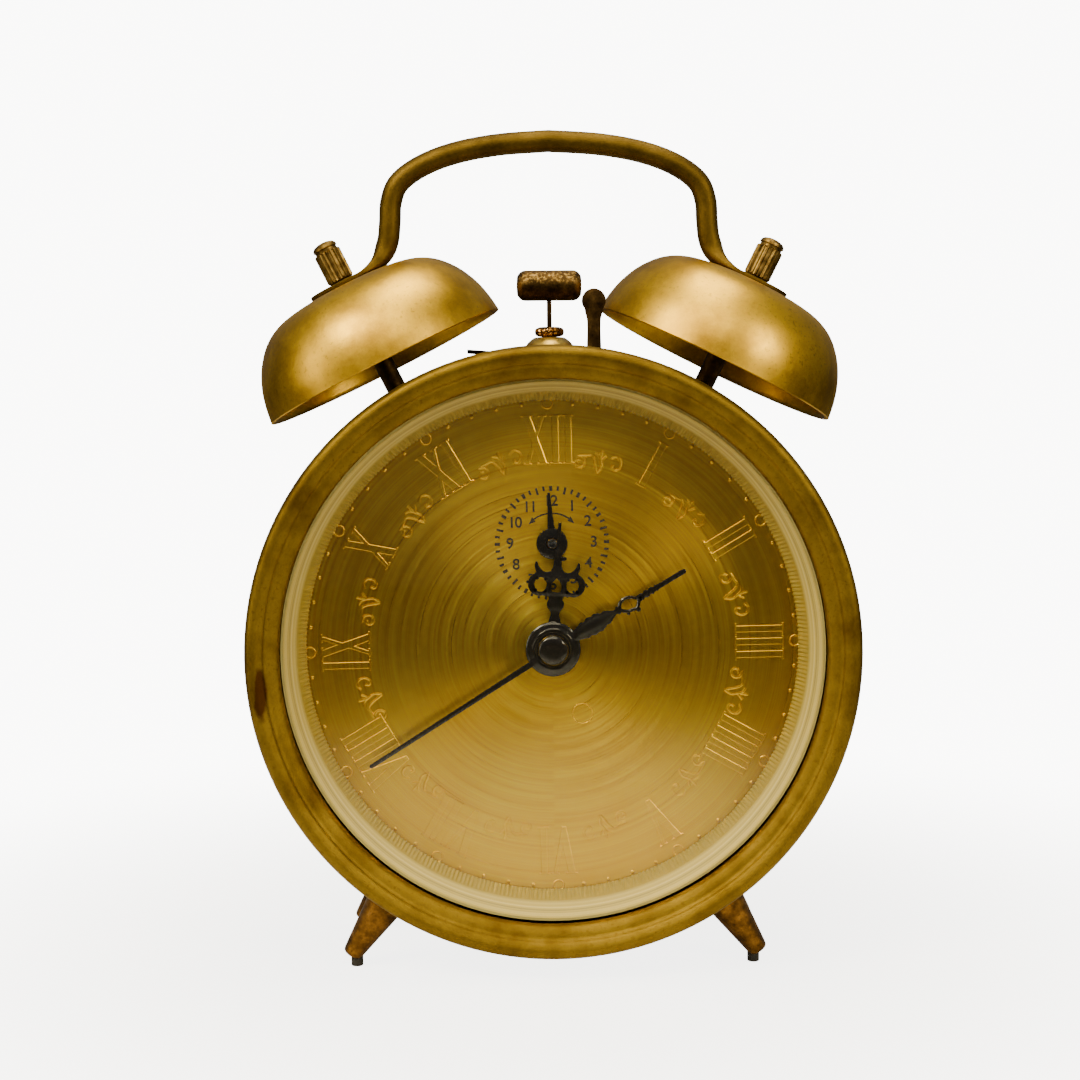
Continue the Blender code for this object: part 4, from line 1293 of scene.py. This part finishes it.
def make_alarm_ring():
    """The printed ring round the alarm hand: ticks, figures and an arrow for its way round."""
    place = CASE @ shift(*ALARM_CENTRE) @ turn(DIAL_TURN)
    ticks = []
    for quarter in range(48):
        if quarter % 4 == 0:
            inner, outer, half = 10.3, 11.3, 0.3
        elif quarter % 4 == 2:
            inner, outer, half = 9.9, 11.3, 0.22
        else:
            inner, outer, half = 10.4, 11.3, 0.22
        corners = [(-half, inner), (half, inner), (half, outer), (-half, outer)]
        angle = math.radians(-quarter * 7.5)
        cosine, sine = math.cos(angle), math.sin(angle)
        ticks.append([(x * cosine - y * sine, x * sine + y * cosine) for x, y in corners])
    bow = arc(6.05, 48, 132, 24) + arc(5.75, 132, 48, 24)
    heads = []
    for side in (-1, 1):
        tip = polar(5.9, 90 - side * 50)
        wings = [polar(radius, 90 - side * 36) for radius in (5.35, 6.45)]
        heads.append([tip, *wings])
    near, far = DIAL_FRONT - 0.05, DIAL_FRONT + 0.05
    printed = [sheet_metal("alarm_ticks", ticks, near, far, place)]
    printed.append(sheet_metal("alarm_arrow", [bow], near, far, place))
    printed.append(sheet_metal("alarm_arrow_heads", heads, near - 0.005, far, place))
    for hour in range(1, 13):
        clear_selection()
        bpy.ops.object.text_add()
        figure = bpy.context.active_object
        figure.data.body = str(hour)
        figure.data.size = FIGURE_SIZE * MM
        figure.data.align_x = "CENTER"
        figure.data.align_y = "CENTER"
        figure.data.extrude = (far - near) / 2 * MM
        figure.data.offset = 0.05 * MM
        figure.data.space_character = 0.9
        x, y = polar(8.3, 90 - hour * 30)
        printed.append(as_mesh(figure, place @ shift(x, y, -(near + far) / 2)))
    complete(joined("alarm_ring_print", *printed), printing_ink, "root", "black_enamel")


# ---------------------------------------------------------------- hands


def hand_place(clock_angle, centre=(0.0, 0.0)):
    """A hand's own frame, with Y along the hand."""
    return CASE @ shift(*centre) @ turn(-clock_angle)


def make_hour_hand():
    """The pierced hour hand: a waisted stem, a cross-piece with two eyes and a blunt tip."""
    near, far = depths_of("hour_hand")
    place = hand_place(HOUR_ANGLE)
    half = [
        (1.3, 3.6), (1.2, 5.4), (0.85, 6.6), (0.95, 7.3), (1.6, 8.1), (1.68, 9.0), (1.35, 9.7),
        (1.6, 10.3)
    ]
    half = through(half, 3)
    half += arc(2.35, -105, 62, 16, (3.3, 12.6))
    half += through(
        [
            (4.15, 14.95), (4.5, 16.0), (4.35, 16.95), (4.0, 17.0), (3.7, 16.2), (3.0, 15.35),
            (2.1, 15.0), (1.3, 15.25)
        ],
        3
    )
    half += through(
        [(0.85, 16.2), (0.75, 17.4), (0.7, 19.0), (0.34, 20.2), (0.32, 24.6), (0.12, 24.8)], 3
    )
    outline = mirrored([(x, y) for x, y in half if x > 0.01])
    holes = []
    for side in (-1, 1):
        eye = arc(1.2, 0, 360, 22, (side * 3.15, 12.5))[:-1]
        holes.append([(x, 12.5 + (y - 12.5) * 1.2) for x, y in eye])
    heart = through([(0, 11.1), (0.8, 11.25), (1.0, 12.0), (0.75, 13.0), (0, 13.9)], 4)
    holes.append(mirrored(heart))
    blade_piece = sheet_metal("hour_blade", [outline, *holes], near, far, place, 0.1)
    hub = spun(
        "hour_hub", [(2.05, near), (4.1, near), (4.2, near + 0.1), (4.2, far), (2.05, far)], CASE,
        64, loop=True
    )
    knobs = []
    for x, y, radius in (
        (2.15, 11.2, 0.38), (4.15, 11.35, 0.38), (2.25, 13.6, 0.3), (3.9, 13.75, 0.34),
        (5.75, 12.9, 0.3)
    ):
        for side in (-1, 1):
            bead = ring(radius, 14, (side * x, y))
            knobs.append(sheet_metal("hour_bead", [bead], near, far, place, 0.08))
    bump = sheet_metal(
        "hour_bump", [eased_loop([(0.4, 17.2), (1.7, 17.5), (1.75, 18.1), (0.4, 18.2)], 0.3)], near,
        far, place, 0.08
    )
    piece = joined("hour_hand_pierced", blade_piece, hub, bump, *knobs)
    complete(piece, gloss_black_enamel, "hour_arbor", "black_enamel", "hour_hand")


def make_minute_hand():
    """The minute hand: a ridged leaf, an open loop and a twisted bar on a stepped hub."""
    near, far = depths_of("minute_hand")
    place = hand_place(MINUTE_ANGLE)
    right = through(
        [
            (1.0, 4.4), (1.3, 6.0), (1.75, 7.2), (1.55, 7.9), (1.95, 8.6), (1.75, 9.6), (1.9, 10.4),
            (1.35, 11.6)
        ],
        3
    )
    right += through(
        [(1.4, 12.4), (0.85, 13.4), (0.45, 14.3), (0.8, 14.7), (0.75, 15.1), (0.4, 15.3)], 3
    )
    leaf = sheet_metal("minute_leaf", [mirrored(right)], near, far, place, 0.1)
    ridge_half = through(
        [(0.55, 5.6), (0.95, 7.4), (1.2, 9.0), (1.0, 11.0), (0.5, 13.2), (0.08, 14.4)], 4
    )
    ridge = sheet_metal("minute_ridge", [mirrored(ridge_half)], near - 0.28, far, place, 0.26)
    loop_line = [
        (0, 15.2), (-0.9, 15.7), (-1.35, 16.8), (-1.15, 18.0), (-0.4, 19.0), (0.25, 19.4),
        (0.95, 18.9)
    ]
    loop_line += [(1.5, 18.3), (1.35, 17.5), (1.15, 16.5), (0.6, 15.6), (0, 15.2)]
    middle = -(near + far) / 2
    eye = wire("minute_loop", [[(x, y, middle) for x, y in through(loop_line, 4)]], 0.38, place, 3)
    knobs = []
    for x, y, radius in ((1.85, 18.4, 0.5), (1.6, 16.3, 0.33), (0.2, 19.7, 0.55)):
        knobs.append(sheet_metal("minute_bead", [ring(radius, 16, (x, y))], near, far, place, 0.12))
    twist = [
        (0.6, 19.4), (0.75, 20.2), (0.55, 20.7), (0.8, 21.3), (0.55, 21.9), (0.78, 22.5),
        (0.52, 23.1), (0.68, 23.6)
    ]
    twist += [(0.52, 24.3), (0.5, 29.9)]
    tail = through(twist, 3) + [polar(0.5, angle, (0, 29.8)) for angle in range(15, 180, 30)]
    tail += [(-x, y) for x, y in reversed(through(twist, 3))]
    bar = sheet_metal("minute_bar", [tail], near, far, place, 0.12)
    steps = [
        (0.95, far), (0.95, near - 0.35), (3.35, near - 0.35), (3.5, near - 0.2), (4.0, near - 0.2),
        (4.15, near - 0.08)
    ]
    steps += [(4.7, near - 0.04), (5.15, near + 0.08), (5.4, near + 0.3), (5.3, far)]
    hub = spun("minute_hub", steps, CASE, 96, loop=True)
    piece = joined("minute_hand_leaf", leaf, ridge, eye, bar, hub, *knobs)
    complete(piece, gloss_black_enamel, "centre_arbor", "black_enamel", "minute_hand")


def make_second_hand():
    """The long plain second hand and the domed cap over its hub."""
    near, far = depths_of("second_hand")
    place = hand_place(SECOND_ANGLE)
    blade = [(0.6, 1.0), (0.52, 20.0), (0.42, 42.6), (0.2, 42.8)]
    blade = sheet_metal("second_blade", [mirrored(blade)], near, far, place, 0.09)
    hub = spun(
        "second_hub", [(0.85, near), (2.0, near), (2.0, far), (0.85, far)], CASE, 48, loop=True
    )
    piece = joined("second_hand_blade", blade, hub)
    complete(piece, gloss_black_enamel, "second_arbor", "black_enamel", "second_hand")
    near, far = depths_of("hand_cap")
    dome = through(
        [(0, near), (1.5, near + 0.02), (2.3, near + 0.14), (2.8, near + 0.42), (3.05, near + 0.8)],
        5
    )
    cap = spun("hand_cap_dome", dome + [(3.05, far), (0, far)], CASE, 80)
    complete(cap, gloss_black_enamel, "second_arbor", "black_enamel", "hand_cap")


def make_alarm_hand():
    """The short alarm pointer and the pin that it turns on."""
    near, far = depths_of("alarm_hand")
    place = hand_place(ALARM_ANGLE, ALARM_CENTRE)
    blade = [(0.85, 2.2), (0.7, 3.2), (0.5, 6.0), (0.25, 10.0), (0.08, 10.1)]
    pointer = sheet_metal("alarm_pointer", [mirrored(blade)], near, far, place, 0.08)
    profile = [
        (1.15, near - 0.1), (2.6, near - 0.1), (3.0, near + 0.05), (3.1, near + 0.25), (3.1, far),
        (1.15, far)
    ]
    hub = spun("alarm_hub", profile, place, 64, loop=True)
    piece = joined("alarm_hand_pointer", pointer, hub)
    complete(piece, gloss_black_enamel, "alarm_setter", "black_enamel", "alarm_hand")
    arbor_front = depths_of("alarm_arbor")[0]
    stub = eased([(0, arbor_front), (0.95, arbor_front), (0.95, far + 0.4), (0, far + 0.4)], 0.2, 3)
    pin = spun("alarm_pin", stub, place, 32)
    complete(pin, nut_brass, "alarm_setter", "steel")


# ---------------------------------------------------------------- frame finishes and stage

FRAME_FINISHES = {
    "aged_brass": aged_case_brass,
    "bell_brass": pitted_bell_brass,
    "dial_brass": brushed_dial_brass,
    "dark_bronze": patinated_dark_bronze,
    "movement_brass": rolled_movement_brass,
    "steel": ground_steel,
    "black_enamel": gloss_black_enamel,
    "cream_ring": cream_plastic,
    "crystal_glass": clear_crystal_glass,
}


def finish_frame():
    """Every frame node gets the finish of its slot, so those that show are never plain."""
    for subpart in frame["record"]["subparts"]:
        node = frame["nodes"][subpart["node"]]
        node.data.materials.clear()
        node.data.materials.append(FRAME_FINISHES[subpart["material_slot"]]())


def lamp(name, place, target, width, height, power):
    """A warm rectangular softbox that faces the target."""
    light = bpy.data.lights.new(name, "AREA")
    light.shape = "RECTANGLE"
    light.size = width
    light.size_y = height
    light.energy = power
    light.color = linear(LAMP_TINT)
    obj = bpy.data.objects.new(name, light)
    bpy.context.scene.collection.objects.link(obj)
    obj.location = place
    obj.rotation_euler = (Vector(target) - Vector(place)).to_track_quat("-Z", "Y").to_euler()


def make_world():
    """A studio that is bright overhead and dim behind the camera; the camera sees plain paper."""
    world = bpy.data.worlds.new("studio")
    bpy.context.scene.world = world
    world.use_nodes = True
    tree = world.node_tree
    tree.nodes.clear()
    way = add_node(tree, "TexCoord").outputs["Generated"]
    parts = add_node(tree, "SeparateXYZ", links={0: way})
    height = add_node(tree, "MapRange", {1: -1.0, 2: 1.0}, {0: parts.outputs["Z"]})
    light = add_node(
        tree, "ValToRGB",
        {"stops": [(0.0, grey(0.05)), (0.46, grey(0.07)), (0.62, grey(0.14)), (1.0, grey(0.4))]},
        {0: height},
    )
    soft = add_node(tree, "Background", {"Strength": 1.0}, {"Color": light})
    paper = add_node(
        tree, "Background", {"Color": (*linear(PAPER), 1.0), "Strength": PAPER_STRENGTH}
    )
    ray = add_node(tree, "LightPath")
    mix = add_node(
        tree, "MixShader",
        links={0: ray.outputs["Is Camera Ray"], 1: soft, 2: paper},
    )
    add_node(tree, "OutputWorld", links={"Surface": mix})


def paper_floor():
    """Matt paper near the clock that fades into the plain backdrop further out."""
    tree, made = blank_finish("paper_floor")
    if tree is None:
        return made
    at = add_node(tree, "TexCoord").outputs["Object"]
    grain = add_node(tree, "TexNoise", {"Scale": per_mm(0.6), "Detail": 3.0}, {"Vector": at})
    tone = add_node(
        tree, "Mix",
        {"data_type": "RGBA", 6: (*linear("#EFEEEA"), 1.0), 7: (*linear("#F6F5F2"), 1.0)},
        {0: grain},
    )
    far = add_node(tree, "VectorMath", {"operation": "LENGTH"}, {0: at})
    bounce = add_node(
        tree, "MapRange", {"interpolation_type": "SMOOTHSTEP", 1: 0.08, 2: 0.28, 3: 0.9, 4: 0.05},
        {0: far.outputs["Value"]},
    )
    dimmed = add_node(
        tree, "VectorMath", {"operation": "SCALE"}, {0: tone.outputs[2], 3: bounce}
    )
    matt = add_node(tree, "BsdfDiffuse", links={"Color": dimmed})
    bright = add_node(
        tree, "Emission", {"Color": (*linear(PAPER), 1.0), "Strength": PAPER_STRENGTH}
    )
    fade = add_node(
        tree, "MapRange", {"interpolation_type": "SMOOTHSTEP", 1: 0.05, 2: 0.24, 3: 0.45, 4: 1.0},
        {0: far.outputs["Value"]},
    )
    ray = add_node(tree, "LightPath")
    share = add_node(
        tree, "Math", {"operation": "MULTIPLY"}, {0: fade, 1: ray.outputs["Is Camera Ray"]}
    )
    mix = add_node(
        tree, "MixShader", links={0: share, 1: matt, 2: bright}
    )
    add_node(tree, "OutputMaterial", links={"Surface": mix})
    return made


def make_stage():
    """The floor, five softboxes and the camera."""
    make_world()
    clear_selection()
    bpy.ops.mesh.primitive_circle_add(
        vertices=96, radius=4.0, fill_type="NGON", location=(0, 0, -0.0002)
    )
    floor = bpy.context.active_object
    floor.name = "paper_floor"
    floor.data.materials.append(paper_floor())
    clock = (0, 0, 0.08)
    lamp("key_softbox", (-0.72, -0.72, 0.95), clock, 0.4, 0.35, 11)
    lamp("wide_softbox", (-0.2, -0.9, 1.1), clock, 1.2, 0.7, 13)
    lamp("top_softbox", (0.1, -0.05, 1.3), clock, 0.8, 0.5, 13)
    lamp("left_softbox", (-1.1, -0.5, 0.25), clock, 0.3, 0.7, 4)
    lamp("dial_window", (0.95, -0.95, 0.62), clock, 0.2, 0.4, 10)
    camera = bpy.data.cameras.new("camera")
    camera.lens = CAMERA_LENS
    camera.sensor_width = SENSOR
    view = bpy.data.objects.new("camera", camera)
    bpy.context.scene.collection.objects.link(view)
    pitch, yaw = math.radians(CAMERA_PITCH), math.radians(CAMERA_YAW)
    ahead = Vector(
        (math.sin(yaw) * math.cos(pitch), math.cos(yaw) * math.cos(pitch), -math.sin(pitch))
    )
    level = ahead.to_track_quat("-Z", "Y")
    view.rotation_mode = "QUATERNION"
    view.rotation_quaternion = level @ Quaternion((0, 0, 1), -math.radians(CAMERA_ROLL))
    view.location = Vector(CAMERA_PLACE) * MM
    camera.clip_start = 0.01
    bpy.context.scene.camera = view


# ---------------------------------------------------------------- operators, panel and main


class CLOCK_OT_frame(bpy.types.Operator):
    """Give the frame's own nodes their finishes"""

    bl_idname = "clock.finish_frame"
    bl_label = "Frame finishes"

    def execute(self, context):
        finish_frame()
        return {"FINISHED"}


class CLOCK_OT_stage(bpy.types.Operator):
    """Make the floor, the lights, the world and the camera"""

    bl_idname = "clock.make_stage"
    bl_label = "Stage"

    def execute(self, context):
        make_stage()
        return {"FINISHED"}


class CLOCK_OT_bezel(bpy.types.Operator):
    """Turn the bezel"""

    bl_idname = "clock.make_bezel"
    bl_label = "Bezel"

    def execute(self, context):
        make_bezel()
        return {"FINISHED"}


class CLOCK_OT_band(bpy.types.Operator):
    """Turn the case band and bore its holes"""

    bl_idname = "clock.make_band"
    bl_label = "Case band"

    def execute(self, context):
        make_drum()
        return {"FINISHED"}


class CLOCK_OT_feet(bpy.types.Operator):
    """Make the four feet and their rubber pads"""

    bl_idname = "clock.make_feet"
    bl_label = "Feet"

    def execute(self, context):
        make_feet()
        return {"FINISHED"}


class CLOCK_OT_crystal(bpy.types.Operator):
    """Turn the domed glass"""

    bl_idname = "clock.make_crystal"
    bl_label = "Crystal"

    def execute(self, context):
        make_crystal()
        return {"FINISHED"}


class CLOCK_OT_reflector(bpy.types.Operator):
    """Turn the ribbed reflector ring"""

    bl_idname = "clock.make_reflector"
    bl_label = "Reflector ring"

    def execute(self, context):
        make_reflector()
        return {"FINISHED"}


class CLOCK_OT_back(bpy.types.Operator):
    """Make the rear cover"""

    bl_idname = "clock.make_back"
    bl_label = "Rear cover"

    def execute(self, context):
        make_back()
        return {"FINISHED"}


class CLOCK_OT_keys(bpy.types.Operator):
    """Make the winding keys and the setting knobs"""

    bl_idname = "clock.make_keys"
    bl_label = "Keys and knobs"

    def execute(self, context):
        make_keys()
        make_knobs()
        return {"FINISHED"}


class CLOCK_OT_bells(bpy.types.Operator):
    """Make the bells, their posts and their nuts"""

    bl_idname = "clock.make_bells"
    bl_label = "Bells"

    def execute(self, context):
        make_bells()
        make_posts()
        make_nuts()
        return {"FINISHED"}


class CLOCK_OT_handle(bpy.types.Operator):
    """Sweep the carrying handle"""

    bl_idname = "clock.make_handle"
    bl_label = "Handle"

    def execute(self, context):
        make_handle()
        return {"FINISHED"}


class CLOCK_OT_hammer(bpy.types.Operator):
    """Make the hammer, its seat and the stop lever"""

    bl_idname = "clock.make_hammer"
    bl_label = "Hammer and stop lever"

    def execute(self, context):
        make_hammer_seat()
        make_hammer()
        make_stop_lever()
        return {"FINISHED"}


class CLOCK_OT_dial(bpy.types.Operator):
    """Make the dial's raised work and its printing"""

    bl_idname = "clock.make_dial"
    bl_label = "Dial work"

    def execute(self, context):
        make_numerals()
        make_ornaments()
        make_minute_marks()
        make_alarm_ring()
        return {"FINISHED"}


class CLOCK_OT_hands(bpy.types.Operator):
    """Make the four hands and the cap"""

    bl_idname = "clock.make_hands"
    bl_label = "Hands"

    def execute(self, context):
        make_hour_hand()
        make_minute_hand()
        make_second_hand()
        make_alarm_hand()
        return {"FINISHED"}


OPERATORS = (
    CLOCK_OT_frame,
    CLOCK_OT_stage,
    CLOCK_OT_bezel,
    CLOCK_OT_band,
    CLOCK_OT_feet,
    CLOCK_OT_crystal,
    CLOCK_OT_reflector,
    CLOCK_OT_back,
    CLOCK_OT_keys,
    CLOCK_OT_bells,
    CLOCK_OT_handle,
    CLOCK_OT_hammer,
    CLOCK_OT_dial,
    CLOCK_OT_hands,
)


class CLOCK_PT_pieces(bpy.types.Panel):
    """Lists the clock's settings and pieces"""

    bl_label = "Alarm clock"
    bl_idname = "CLOCK_PT_pieces"
    bl_space_type = "VIEW_3D"
    bl_region_type = "UI"
    bl_category = "Clock"

    def draw(self, context):
        for group in (context.scene.clock_sizes, context.scene.clock_colours):
            for name in group.__annotations__:
                self.layout.prop(group, name)
        for operator in OPERATORS:
            self.layout.operator(operator.bl_idname)


CLASSES = (ClockSizes, ClockColours, *OPERATORS, CLOCK_PT_pieces)


def register():
    for made in CLASSES:
        bpy.utils.register_class(made)
    bpy.types.Scene.clock_sizes = bpy.props.PointerProperty(type=ClockSizes)
    bpy.types.Scene.clock_colours = bpy.props.PointerProperty(type=ClockColours)


def unregister():
    del bpy.types.Scene.clock_sizes
    del bpy.types.Scene.clock_colours
    for made in reversed(CLASSES):
        bpy.utils.unregister_class(made)


def main():
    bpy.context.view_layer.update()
    register()
    for operator in OPERATORS:
        group, name = operator.bl_idname.split(".")
        getattr(getattr(bpy.ops, group), name)()
    clear_selection()


if __name__ == "__main__":
    main()
